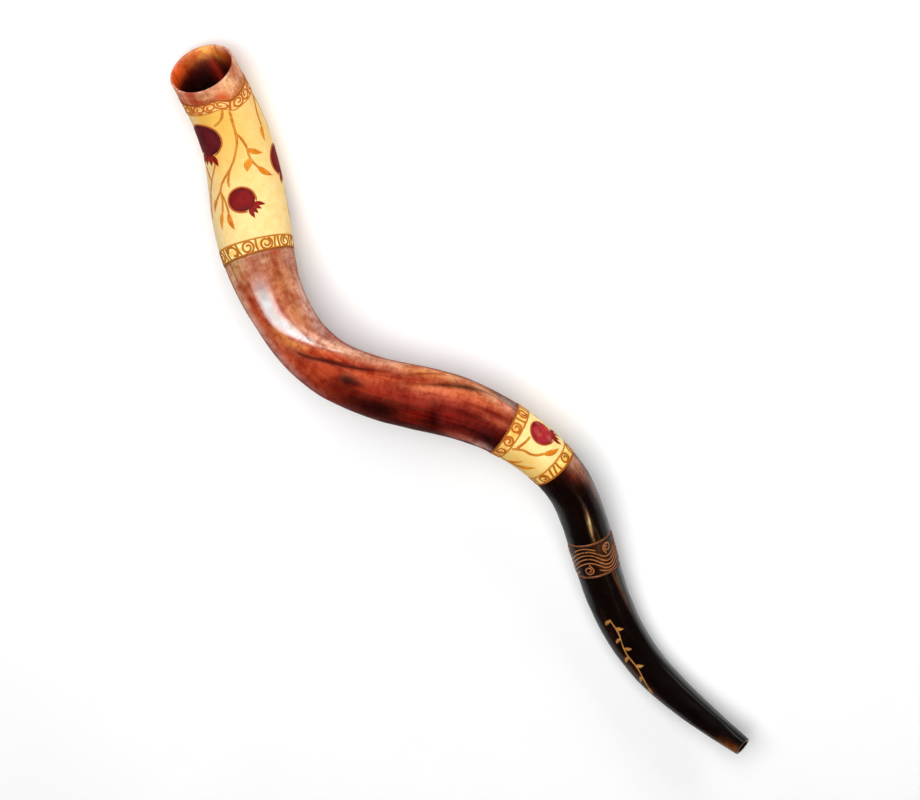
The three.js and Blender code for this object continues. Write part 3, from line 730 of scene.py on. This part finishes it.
def build_horn():
    outside = np.array(horn_rings())
    inside = np.array(bore_rings())
    distance = np.repeat(outside[:, :1], AROUND, 1)
    degrees = np.broadcast_to(ring_angles, distance.shape)
    height = outside[:, 1:] + skin_height(distance, degrees)
    outer = place(distance, degrees, outer_radius(distance, degrees, height))
    bore_distance = np.repeat(inside[:, :1], AROUND, 1)
    bore_degrees = np.broadcast_to(ring_angles, bore_distance.shape)
    bore = place(bore_distance, bore_degrees, np.repeat(inside[:, 1:], AROUND, 1))
    rows = len(outside) + len(inside)
    all_distance = np.concatenate([distance, bore_distance])
    all_degrees = np.concatenate([degrees, bore_degrees])
    paint = np.concatenate([horn_paint(distance, degrees), bore_paint(bore_distance, bore_degrees)])
    polish = np.concatenate([polish_at(distance, degrees), np.full_like(bore_distance, BORE_POLISH)])
    patch = Patchwork()
    patch.add(
        np.concatenate([outer, bore]), grid_faces(rows, AROUND, loop_rows=True, loop_columns=True),
        grain=grain_at(all_distance, all_degrees), paint=paint, polish=polish,
    )
    return make_mesh("horn_body", patch, HORN, ["horn"], smooth_angle=38)


build_horn()

# ---------------------------------------------------------------- coats around the horn


def build_coat(name, node, material, start, end, paint_at, step=2.2, around=176, rounding=0.25):
    """A lacquered band: a closed shell with softly rounded edges."""
    rise = [(start + at, height) for at, height in rounded_edge(rounding, 4)]
    fall = [(end - (at - start), height) for at, height in rise[::-1]]
    top = rise + [(at, 0.0) for at in evenly(start + rounding, end - rounding, step)[1:-1]] + fall
    under = [(at, -COAT) for at in evenly(start, end, 12)[::-1]]
    rings = np.array(top + under)
    distance = np.repeat(rings[:, :1], around, 1)
    degrees = np.broadcast_to(np.arange(around) * 360 / around, distance.shape)
    points = place(distance, degrees, outer_radius(distance, degrees, rings[:, 1:]))
    patch = Patchwork()
    patch.add(
        points, grid_faces(len(rings), around, loop_rows=True, loop_columns=True),
        grain=grain_at(distance, degrees), paint=paint_at(distance, wrapped(degrees)),
    )
    return make_mesh(name, patch, material, [node], smooth_angle=60)


def ring_paint(distance, degrees):
    return ground("8a5432", distance)


def bell_panel_paint(distance, degrees):
    """Deep yellow near the rim and on the left, paling to cream."""
    paler_right = 1 - 0.5 * plateau(np.mod(-degrees, 360), (4, 48, 150, 220))
    warm = (1 - 0.92 * fade(distance, 50, 160)) * paler_right
    pale = plateau(np.mod(degrees, 360), (30, 52, 80, 120))
    colours = blend(ground("f6da98", distance), "ecba58", warm)
    return blend(colours, "f0dcb0", 0.6 * pale)


def mid_panel_paint(distance, degrees):
    """Cream, with a deeper yellow on the left."""
    return blend(ground("fce29a", distance), "eec05e", 0.7 * plateau(degrees, (-20, 30, 60, 120)))


BORDER_GROUNDS = {
    "bell_upper_border": ("fddc94", "eea452"), "bell_lower_border": ("fff2b0", "f6c658"),
    "mid_upper_border": ("ffe48c", "f4b048"), "mid_lower_border": ("fff09c", "f6c458"),
}


def border_paint(node):
    """A border's ground in slow patches of two colours."""
    light, deep = BORDER_GROUNDS[node]

    def paint_at(distance, degrees):
        turn = np.radians(degrees)
        patches = 0.5 + 0.5 * np.sin(distance * 0.8 + 7 * turn) * np.cos(9 * turn + 1.3)
        return blend(ground(light, distance), deep, 0.8 * patches)

    return paint_at


def dark_band_paint(distance, degrees):
    """Near black, browner on top."""
    return blend(ground("1a0c08", distance), "4a2a16", 0.8 * near_angle(degrees, -30, 20))


def band_parts(band):
    """Where a decorated band's two borders and panel begin and end."""
    start, end = band["start"], band["end"]
    return {
        "upper_border": (start + GAP, start + band["upper"]),
        "panel": (start + band["upper"] + GAP, end - band["lower"] - GAP),
        "lower_border": (end - band["lower"], end - GAP),
    }


for band_name, band, panel_paint in (
    ("bell", BELL_BAND, bell_panel_paint), ("mid", MID_BAND, mid_panel_paint),
):
    for part, (start, end) in band_parts(band).items():
        node = f"{band_name}_{part}"
        if part == "panel":
            build_coat(f"{node}_coat", node, IVORY, start, end, panel_paint)
        else:
            build_coat(f"{node}_coat", node, BORDER, start, end, border_paint(node),
                       step=1.6)

inner_start = TIP_BAND["start"] + TIP_BAND["ring"]
inner_end = TIP_BAND["end"] - TIP_BAND["ring"]
build_coat("tip_band_coat", "tip_band", DARK, inner_start + GAP, inner_end - GAP,
           dark_band_paint, step=2, around=120)
for ring_name, start, end in (
    ("upper", TIP_BAND["start"] + GAP, inner_start), ("lower", inner_end, TIP_BAND["end"] - GAP),
):
    node = f"tip_band_{ring_name}_ring"
    build_coat(f"{node}_coat", node, COPPER, start, end, ring_paint,
               step=0.5, around=120, rounding=0.8)

# ---------------------------------------------------------------- raised lines and leaves

SINK = 0.5  # how deep a raised line's foot is buried in its coat
DOME = np.sin(np.linspace(-1, 1, 9) * math.pi / 2)  # places across a line, from one edge to the other
LINE_PAINT = ("dc9432", "c87c22", "a4601c")
LEAF_PAINT = ("e88e20", "f0a436", "94501a")
CROWN_PAINT = ("86140e", "98240e", "b8621c")
OUTLINE_PAINT = ("c8702a", "a8501c", "8c4218")
SCROLL_PAINT = ("b87018", "9c5a12", "844810")
WARM_SCROLL_PAINT = ("c4702a", "b05e1c", "9a4e18")
EDGE_PAINT = ("d08a2a", "b86e1e", "9a5616")
OUTER_EDGE_PAINT = ("b06a20", "8c4c16", "6a360e")
COPPER_PAINT = ("bc7a44", "8a4a24", "42200e")
GOLD_PAINT = ("c08a4a", "9a6226", "4a2a10")


def smooth_path(points, step=0.8):
    """A Catmull-Rom line through (distance, arc) points, evenly spaced."""
    points = np.array(points, float)
    knots = np.concatenate([2 * points[:1] - points[1:2], points, 2 * points[-1:] - points[-2:-1]])
    t = np.linspace(0, 1, 17)[:-1, None]
    pieces = []
    for a, b, c, d in zip(knots, knots[1:], knots[2:], knots[3:]):
        bend = (2 * a - 5 * b + 4 * c - d) * t ** 2
        twist = (3 * b - a - 3 * c + d) * t ** 3
        pieces.append(0.5 * (2 * b + (c - a) * t + bend + twist))
    path = np.concatenate([*pieces, points[-1:]])
    walked = np.concatenate([[0], np.cumsum(np.linalg.norm(np.diff(path, axis=0), axis=1))])
    count = max(3, math.ceil(walked[-1] / step))
    places = np.linspace(0, walked[-1], count + 1)
    return np.stack([np.interp(places, walked, path[:, k]) for k in range(2)], -1)


def even_width(share):
    """A line of even width with short rounded ends."""
    end = np.minimum(share, 1 - share)
    return np.sqrt(np.clip(end / 0.04, 0.02, 1))


def full_width(share):
    """A line of even width with square ends."""
    return np.ones_like(share)


def leaf_width(share):
    """Widest before the middle, and pointed at both ends."""
    return np.maximum(np.sin(np.pi * np.clip(share, 0, 1) ** 0.8), 0.03)


def paint_across(edge, colours):
    """Three colours from a line's middle to its edge."""
    middle, flank, rim = (linear(colour) for colour in colours)
    inner = fade(edge, 0.4, 0.93)[..., None]
    outer = fade(edge, 0.86, 1.0)[..., None]
    return (middle * (1 - inner) + flank * inner) * (1 - outer) + rim * outer


def add_line(patch, path, width, rise, colours, profile=even_width):
    """A raised line or leaf with a domed top along a path on the unrolled surface."""
    width_at = profile(np.linspace(0, 1, len(path)))
    dome = np.sqrt(np.maximum(1 - DOME ** 2, 0))
    tangent = np.gradient(path, axis=0)
    tangent /= np.linalg.norm(tangent, axis=1, keepdims=True)
    across = np.stack([-tangent[:, 1], tangent[:, 0]], -1)
    half = width / 2 * width_at
    top = path[:, None] + (half[:, None] * DOME[None])[..., None] * across[:, None]
    height = rise * np.sqrt(np.clip(width_at, 0, 1))[:, None] * dome[None]
    foot = top[:, [-1, 0]]
    flat = np.concatenate([top, foot], 1)
    height = np.concatenate([height, np.full((len(path), 2), -SINK)], 1)
    edge = np.tile(np.concatenate([np.abs(DOME), [1, 1]]), (len(path), 1))
    distance = flat[..., 0]
    degrees = np.degrees(flat[..., 1] / radius_at(distance))
    points = place(distance, degrees, outer_radius(distance, degrees, height))
    columns = flat.shape[1]
    faces = [tuple(face) for face in grid_faces(len(path), columns, loop_columns=True)]
    last = (len(path) - 1) * columns
    faces.append(tuple(range(columns))[::-1])
    faces.append(tuple(last + k for k in range(columns)))
    patch.add(points, faces, grain=grain_at(distance, degrees), paint=paint_across(edge, colours))


def add_ring_line(patch, distance, width, rise, colours):
    """A raised line all the way round."""
    girth = 2 * math.pi * float(radius_at(distance))
    count = math.ceil(girth / 1.5)
    degrees = np.repeat(np.arange(count)[:, None] * 360 / count, len(DOME) + 2, 1)
    across = np.concatenate([DOME, DOME[[-1, 0]]]) * width / 2
    at = np.broadcast_to(distance + across, degrees.shape)
    height = np.concatenate([rise * np.sqrt(np.maximum(1 - DOME ** 2, 0)), [-SINK, -SINK]])
    edge = np.concatenate([np.abs(DOME), [1, 1]])
    points = place(at, degrees, outer_radius(at, degrees, height[None]))
    patch.add(points, grid_faces(count, points.shape[1], loop_rows=True, loop_columns=True),
              grain=grain_at(at, degrees), paint=paint_across(np.broadcast_to(edge, at.shape), colours))


def add_leaf(patch, distance, arc, heading, length, width, rise=0.45, colours=LEAF_PAINT, bend=0.08):
    """A leaf or bud from its foot, slightly bent."""
    turn = math.radians(heading)
    along = np.array([math.cos(turn), math.sin(turn)])
    sideways = np.array([-along[1], along[0]])
    share = np.linspace(0, 1, 16)[:, None]
    bow = bend * np.sin(np.pi * share) * sideways
    path = np.array([distance, arc]) + length * (share * along + bow)
    add_line(patch, path, width, rise, colours, leaf_width)


# ---------------------------------------------------------------- vines

VINE_WIDTH = 2.4
VINE_RISE = 0.3

# Stems run through (distance, arc) points. A leaf is: distance and arc of its foot, heading in
# degrees from along the horn, length and width.
BELL_SPRAYS = [
    dict(stems=[[(32.5, -6.6), (41, -3.5), (45, 1), (48, 7)]]),
    dict(
        stems=[
            [(32.5, -12.3), (47, -10.5), (61, -9.5), (72, -8), (82, -4.5), (93, 0), (102, 5), (113, 8.5),
             (122, 9)],
            [(101, 4.5), (108, 10), (116, 16), (124, 19.5), (133, 26.5)],
            [(123, 19), (134, 18.5), (147, 20.5)],
            [(125, 19), (137, 15), (148, 13)],
            [(62, -9.5), (70, -12.5), (80, -15), (90, -15.5), (97, -17), (106, -22.5)],
        ],
        leaves=[
            (131, 25, 29, 15, 4.6), (145, 20, 13, 18, 5), (147, 13.5, -14, 19, 5.6),
            (83, -15, -60, 18, 5.4), (104, -21, -54, 20, 6), (94, -16.3, 22, 15, 7.5),
        ],
    ),
    dict(
        stems=[
            [(32.5, -51), (47, -42), (58, -40), (68, -40)],
            [(32.5, -49), (44, -55), (60, -58), (78, -58)],
        ],
        leaves=[(67, -40, 9, 16, 5.2)],
    ),
    dict(
        stems=[[(90, 20), (97, 22), (112, 30.5), (124, 36), (138, 40)], [(94, 38), (104, 34), (112, 30.5)]],
        leaves=[(136, 39.5, 8, 15, 5)],
    ),
    dict(
        stems=[[(32.5, 61.5), (56, 66), (80, 72), (105, 68)], [(56, 66), (66, 76), (84, 86)]],
        leaves=[(82, 85, 20, 13, 5), (46, 64, -40, 11, 5)],
    ),
    dict(
        stems=[[(84, -84), (99, -80), (117, -84), (131, -88)], [(107, -81), (123, -72), (149, -66)]],
        leaves=[(147, -67, 10, 13, 5), (127, -71, 45, 11, 5)],
    ),
]
MID_SPRAYS = [
    dict(
        stems=[[(504, 6.6), (514, 1), (521, 0), (527, -3), (532, -9)], [(508, 3), (511, -7), (512, -13.5)]],
        leaves=[(531, -7.5, -59, 18, 5.4)],
    ),
    dict(
        stems=[[(504, 27), (512, 26.5), (519, 23)]],
        leaves=[(510, 26, -55, 20, 4.2), (518, 23.5, -44, 24, 5)],
    ),
    dict(
        stems=[[(504, 74.2), (518, 72), (530, 66), (539, 56)]],
        leaves=[(524, 70, 40, 12, 5), (512, 73, -70, 10, 4.5)],
    ),
    dict(
        stems=[[(504, -52), (518, -52), (530, -46), (538, -38)]],
        leaves=[(522, -51, -40, 12, 5), (510, -52, 60, 9, 4.5)],
    ),
]


def build_spray(name, node, stems, leaves=()):
    patch = Patchwork()
    for stem in stems:
        add_line(patch, smooth_path(stem), VINE_WIDTH, VINE_RISE, LINE_PAINT)
    for leaf in leaves:
        add_leaf(patch, *leaf)
    return make_mesh(name, patch, LINES, [node])


for band_name, sprays in (("bell", BELL_SPRAYS), ("mid", MID_SPRAYS)):
    for number, spray in enumerate(sprays, 1):
        build_spray(f"{band_name}_spray_{number}_lines", f"{band_name}_spray_{number}", **spray)

# ---------------------------------------------------------------- pomegranates

# Distance and arc of the centre, heading of the crown, radius and colour.
BELL_FRUITS = [
    (62.5, 25, 8, 19.2, "68141c"), (136.5, -1.5, -48, 12.8, "8a0e10"), (102, -52, -20, 12.8, "861818"),
    (121, 74, 25, 13.6, "861416"), (62, -98, -10, 13.2, "7a1418"), (145, -92, 30, 11.8, "8a0e10"),
]
MID_FRUITS = [(520, -24.5, -34, 11.6, "c4323a"), (522, 50, 30, 8.3, "a8222c")]
OUTLINE_WIDTH = 1.9
CROWN_NECK = 26  # half the angle in degrees that the crown takes of the round


def fruit_rim(radius, share):
    """Points of the fruit's round, from one side of the crown to the other, about its centre."""
    angle = np.radians(CROWN_NECK + (360 - 2 * CROWN_NECK) * share)
    pinch = 1 + 0.06 * np.exp(-((np.minimum(share, 1 - share) / 0.07) ** 2))
    return radius * pinch[:, None] * np.stack([np.cos(angle), np.sin(angle)], -1)


def turned(points, heading, centre):
    turn = math.radians(heading)
    rotation = np.array([[math.cos(turn), -math.sin(turn)], [math.sin(turn), math.cos(turn)]])
    return points @ rotation.T + np.array(centre)


def build_fruit(name, node, distance, arc, heading, radius, colour):
    """A domed fruit in dark red with an orange outline and a three-pronged crown."""
    centre = (distance, arc)
    body = Patchwork()
    rings, count = 9, 64
    round_angle = np.arange(count) * 2 * np.pi / count
    shares = np.linspace(0, 1, rings)[1:]
    neck = 1 + 0.32 * np.exp(-((wrapped(np.degrees(round_angle)) / 17) ** 4))
    flat = [np.zeros((1, 2))]
    for share in shares:
        reach = radius * share * (1 + (neck - 1) * share)
        flat.append(np.stack([reach * np.cos(round_angle), reach * np.sin(round_angle)], -1))
    flat.append(flat[-1])
    levels = np.concatenate([[0], np.repeat(shares, count), np.ones(count)])
    points = turned(np.concatenate(flat), heading, centre)
    dome = 0.4 * np.sqrt(np.maximum(1 - levels ** 2, 0)) + 0.05
    dome[-count:] = -SINK
    degrees = np.degrees(points[:, 1] / radius_at(points[:, 0]))
    surface = place(points[:, 0], degrees, outer_radius(points[:, 0], degrees, dome))
    faces = [(0, 1 + k, 1 + (k + 1) % count) for k in range(count)]
    faces += [tuple(1 + corner for corner in face) for face in grid_faces(rings, count, loop_columns=True)]
    foot = 1 + (rings - 1) * count
    faces.append(tuple(foot + k for k in range(count))[::-1])
    paint = blend(ground(colour, levels), "4a0c12", 0.55 * fade(levels, 0.55, 1.0))
    if node.startswith("mid"):  # the middle band's fruits have paler patches
        along, around = points.T
        patches = np.sin(0.3 * along + 0.15 * around + 0.5) * np.sin(0.38 * around - 0.2 * along)
        paint = blend(paint, "e0786e", 0.5 * fade(patches, -0.1, 0.95))
    body.add(surface, faces, grain=grain_at(points[:, 0], degrees), paint=paint)
    make_mesh(f"{name}_body", body, FRUIT, [node])

    trim = Patchwork()
    outline = OUTLINE_WIDTH if node.startswith("bell") else 0.6 * OUTLINE_WIDTH
    rim = turned(fruit_rim(radius + outline * 0.22, np.linspace(0, 1, 90)), heading, centre)
    add_line(trim, rim, outline, 0.45, OUTLINE_PAINT)
    for lean in (-38, -13, 13, 38):
        foot_at = turned(radius * np.array([[0.9, 0.3 * lean / 38]]), heading, centre)[0]
        length = radius * (0.82 if abs(lean) > 20 else 0.72) + 1.0
        add_leaf(trim, *foot_at, heading + lean * 0.7, length, max(3.4, radius * 0.36), 0.5, CROWN_PAINT, 0.0)
    return make_mesh(f"{name}_outline_and_crown", trim, LINES, [node])


for band_name, fruits in (("bell", BELL_FRUITS), ("mid", MID_FRUITS)):
    for number, fruit in enumerate(fruits, 1):
        build_fruit(f"{band_name}_fruit_{number}", f"{band_name}_pomegranate_{number}", *fruit)

# ---------------------------------------------------------------- scroll borders


def spiral(distance, arc, radius, turns, start, hand, tail, inner):
    """A spiral from a straight tail inwards; start is where it begins, in degrees."""
    share = np.linspace(0, 1, 40)
    angle = np.radians(start) + hand * 2 * np.pi * turns * share
    reach = radius * (1 - (1 - inner) * share ** 1.7)
    points = np.stack([distance + reach * np.cos(angle), arc + reach * np.sin(angle)], -1)
    if tail:
        away = points[0] - hand * tail * np.array([-math.sin(angle[0]), math.cos(angle[0])])
        points = np.concatenate([away[None], points])
    return smooth_path(points, 0.6)


def stroke(distance, arc, length, lean):
    """A line across the border, bowed a little."""
    half = length / 2
    ends = [(distance - half, arc - lean), (distance + half, arc + lean)]
    return smooth_path([ends[0], (distance, arc + 0.6), ends[1]], 0.6)


# What each border shows round the horn, from an arc in mm onwards: S and s are large and small
# spirals, C opens like a hook, and I is a plain stroke.
BORDERS = {
    "bell_upper_border": (3.5, "ssISsISsICISISsISICSIs"),
    "bell_lower_border": (0.6, "SISIIsIICSISIISICIsISIIsIICI"),
    "mid_upper_border": (2, "SSIsISISsICSISIs"),
    "mid_lower_border": (0, "IIISSISISIICISIS"),
}
KIND_WIDTHS = {"S": 1.0, "s": 0.82, "C": 0.68, "I": 0.31}  # as shares of the border's height
LINE_SHARES = {"S": 1.0, "s": 0.95, "C": 1.1, "I": 1.0}  # as shares of the line width


def build_border(name, node, start, end, first_arc, kinds, line_width, colours, rng):
    """A dark line along each edge and scrolls between them, packed all round the horn."""
    middle = (start + end) / 2
    reach = (end - start) / 2 - 0.4
    bow = reach - 0.3 * line_width
    patch = Patchwork()
    inner_edge = end - 0.7 if "upper" in node else start + 0.7
    outer_edge = start + 1 if "upper" in node else end - 1
    add_ring_line(patch, inner_edge, 1.3, 0.45, EDGE_PAINT)
    add_ring_line(patch, outer_edge, 2.0, 0.5, OUTER_EDGE_PAINT)
    widths = [KIND_WIDTHS[kind] for kind in kinds]
    scale = 2 * math.pi * float(radius_at(middle)) / sum(widths)
    arc = first_arc + widths[0] * scale / 2
    for kind, width in zip(kinds, widths):
        arc -= width * scale / 2
        side = 1 if rng.random() < 0.5 else -1
        sway = rng.uniform(-1, 1)
        if kind == "S":
            shape = spiral(middle, arc, bow, 1.75, 90 + 90 * side + 40 * sway, side, 2.0, 0.14)
        elif kind == "s":
            shape = spiral(middle, arc, bow * 0.9, 1.5, 90 - 90 * side + 40 * sway, side, 2.0, 0.2)
        elif kind == "C":
            shape = spiral(middle, arc, bow * 0.92, 0.85, 70 + 25 * sway, 1, 0.0, 0.62)
        else:
            shape = stroke(middle, arc, 2 * reach - 0.4, 0.8 + 1.2 * sway)
        add_line(patch, shape, line_width * LINE_SHARES[kind], 0.45, colours)
        arc -= width * scale / 2
    return make_mesh(name, patch, BORDER, [node])


BORDER_SEED = 11
border_rng = np.random.default_rng(BORDER_SEED)
for band_name, band, line_width in (("bell", BELL_BAND, 2.1), ("mid", MID_BAND, 2.0)):
    for part in ("upper_border", "lower_border"):
        node = f"{band_name}_{part}"
        start, end = band_parts(band)[part]
        colours = WARM_SCROLL_PAINT if part == "upper_border" else SCROLL_PAINT
        build_border(f"{node}_scrolls", node, start, end, *BORDERS[node], line_width, colours, border_rng)

# ---------------------------------------------------------------- the dark scroll band


WAVE_REPEATS = 3
WAVE_CREST = 6  # the arc of the first crest
WAVE_LINES = ((648.8, 5.2), (653.0, 5.8), (657.2, 5.8), (661.4, 5.2))  # distance and rise
WAVE_WIDTH = 1.5
ECHO_WIDTH = 1.3
SPIRAL_WIDTH = 1.7


def build_dark_scrolls():
    """Copper waves all round, with a spiral above each trough and another below each crest."""
    middle = (TIP_BAND["start"] + TIP_BAND["end"]) / 2
    girth = 2 * math.pi * float(radius_at(middle))
    pitch = girth / WAVE_REPEATS
    patch = Patchwork()
    arcs = WAVE_CREST + np.linspace(0, girth, 140)
    turn = 2 * np.pi * (arcs - WAVE_CREST) / pitch
    for level, rise in WAVE_LINES:
        wave = level - rise * np.cos(turn) + 0.5 * np.sin(2 * turn + 1)
        path = smooth_path(np.stack([wave, arcs], -1))
        add_line(patch, path, WAVE_WIDTH, 0.55, COPPER_PAINT, full_width)
    echo_turn = np.linspace(-0.52, 0.52, 30) * math.pi
    for repeat in range(WAVE_REPEATS):
        crest = WAVE_CREST + pitch * repeat
        trough = crest + pitch / 2
        for level, arc, start in ((645.4, trough, 60), (664.6, crest, -120)):
            scroll = spiral(level, arc, 4.4, 1.5, start, 1, 5, 0.15)
            add_line(patch, scroll, SPIRAL_WIDTH, 0.6, COPPER_PAINT)
        for level, arc, phase in ((644.1, crest, 0), (666, trough, math.pi)):
            wave = level - 4 * np.cos(echo_turn + phase)
            echo = np.stack([wave, arc + echo_turn / (2 * math.pi) * pitch], -1)
            add_line(patch, echo, ECHO_WIDTH, 0.5, COPPER_PAINT)
    nodes = [f"tip_band_scroll_{k}" for k in range(1, 6)]
    return make_mesh("tip_band_scroll_lines", patch, COPPER, nodes)


build_dark_scrolls()

# ---------------------------------------------------------------- the vine near the mouthpiece

TIP_STEM_WIDTH = 1.7
TIP_LEAF_SIZE = (9, 4.4)
TIP_STEM = [(720, 4), (738, 2), (759, 6), (780, 6), (802, 13)]
TIP_LEAVES = [  # distance, arc, heading
    (722, 4, 60), (731, 3, -60), (743, 2, 62), (754, 5, -58), (764, 6, 60), (775, 6, -55), (788, 8, 62),
    (800, 12, 15),
]


def build_tip_vine():
    patch = Patchwork()
    add_line(patch, smooth_path(TIP_STEM), TIP_STEM_WIDTH, 0.3, GOLD_PAINT)
    for leaf in TIP_LEAVES:
        add_leaf(patch, *leaf, *TIP_LEAF_SIZE, rise=0.35, colours=GOLD_PAINT)
    return make_mesh("tip_vine_lines", patch, COPPER, ["tip_vine"])


build_tip_vine()

# ---------------------------------------------------------------- floor, light and camera

bpy.context.scene.view_settings.view_transform = "Standard"

FLOOR_REACH = 6
FLOOR_GAP = 0.0002
WALL_LIGHT = 0.8
CEILING_LIGHT = 0.1


def build_floor():
    """A wide pale sheet just under the horn."""
    mesh = bpy.data.meshes.new("floor")
    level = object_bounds()[0][2] - FLOOR_GAP
    corners = [(x * FLOOR_REACH, y * FLOOR_REACH, level) for x, y in ((-1, -1), (1, -1), (1, 1), (-1, 1))]
    mesh.from_pydata(corners, [], [(0, 1, 2, 3)])
    n = Nodes("floor_paper")
    noise = n.node("ShaderNodeTexNoise")
    noise.inputs["Scale"].default_value = 60
    colour = n.mix(n.span(noise.outputs["Fac"], 0.3, 0.7), "f4f4f4", "f8f8f8")
    n.link(colour, n.shader.inputs["Base Color"])
    n.shader.inputs["Roughness"].default_value = 0.8
    mesh.materials.append(n.material)
    floor = bpy.data.objects.new("floor", mesh)
    bpy.context.scene.collection.objects.link(floor)


def build_world():
    """Pale walls around the table and a darker ceiling."""
    world = bpy.data.worlds.new("studio")
    world.use_nodes = True
    tree = world.node_tree
    direction = tree.nodes.new("ShaderNodeTexCoord")
    parts = tree.nodes.new("ShaderNodeSeparateXYZ")
    span = tree.nodes.new("ShaderNodeMapRange")
    tree.links.new(direction.outputs["Generated"], parts.inputs["Vector"])
    tree.links.new(parts.outputs["Z"], span.inputs["Value"])
    ends = {"From Min": 0.25, "From Max": 0.7, "To Min": WALL_LIGHT, "To Max": CEILING_LIGHT}
    for key, number in ends.items():
        span.inputs[key].default_value = number
    tree.links.new(span.outputs["Result"], tree.nodes["Background"].inputs["Strength"])
    bpy.context.scene.world = world


def softbox(name, direction, wide, distance, size, power, colour=(1, 1, 1), fill=True, shine=True):
    """An area light facing the object, its first side along wide. It can fill only or shine only."""
    data = bpy.data.lights.new(name, "AREA")
    data.shape = "RECTANGLE"
    data.size, data.size_y = size
    data.energy = power
    data.color = colour
    light = bpy.data.objects.new(name, data)
    towards = Vector(direction).normalized()
    first = (Vector(wide) - towards * towards.dot(Vector(wide))).normalized()
    light.matrix_world = Matrix((first, towards.cross(first), towards)).transposed().to_4x4()
    light.location = centre + towards * distance
    light.visible_diffuse = fill
    light.visible_glossy = shine
    bpy.context.scene.collection.objects.link(light)


CAMERA = dict(
    azimuth=25.84, elevation=74.88, roll=154.63, distance=3.28, lens=135, sensor=36,
    aim=(0.0111, -0.0231, -0.0114),
)


def build_camera():
    """A view from well above the horn, turned so that the bell is top left."""
    azimuth, elevation, roll = (math.radians(CAMERA[key]) for key in ("azimuth", "elevation", "roll"))
    level_reach = math.cos(elevation)
    back = Vector((math.sin(azimuth) * level_reach, -math.cos(azimuth) * level_reach, math.sin(elevation)))
    level_up = (Vector((0, 0, 1)) - back * back.z).normalized()
    level_right = level_up.cross(back)
    up = math.cos(roll) * level_up + math.sin(roll) * level_right
    right = up.cross(back)
    data = bpy.data.cameras.new("camera")
    data.lens = CAMERA["lens"]
    data.sensor_width = CAMERA["sensor"]
    data.clip_end = 50
    camera = bpy.data.objects.new("camera", data)
    camera.matrix_world = Matrix((right, up, back)).transposed().to_4x4()
    camera.location = centre + Vector(CAMERA["aim"]) + back * CAMERA["distance"]
    bpy.context.scene.collection.objects.link(camera)
    bpy.context.scene.camera = camera


low, high = (Vector(corner) for corner in cad_box)
centre = (low + high) / 2
build_floor()
build_world()
softbox("key", (0.2, -0.1, 0.97), (0, 1, 0), 2.6, (2.6, 2.6), 100, shine=False)
softbox("window", (0.50, 0.0, 0.87), (0, 1, 0), 0.72, (1.3, 0.28), 24, fill=False)
softbox("side_strip", (0.15, -0.88, 0.42), (1, 0, 0), 2.0, (1.6, 0.5), 10)
softbox("warm_strip", (-0.78, -0.25, 0.57), (0, 1, 0), 2.0, (0.22, 0.08), 0.7, (1, 0.8, 0.55), fill=False)
build_camera()
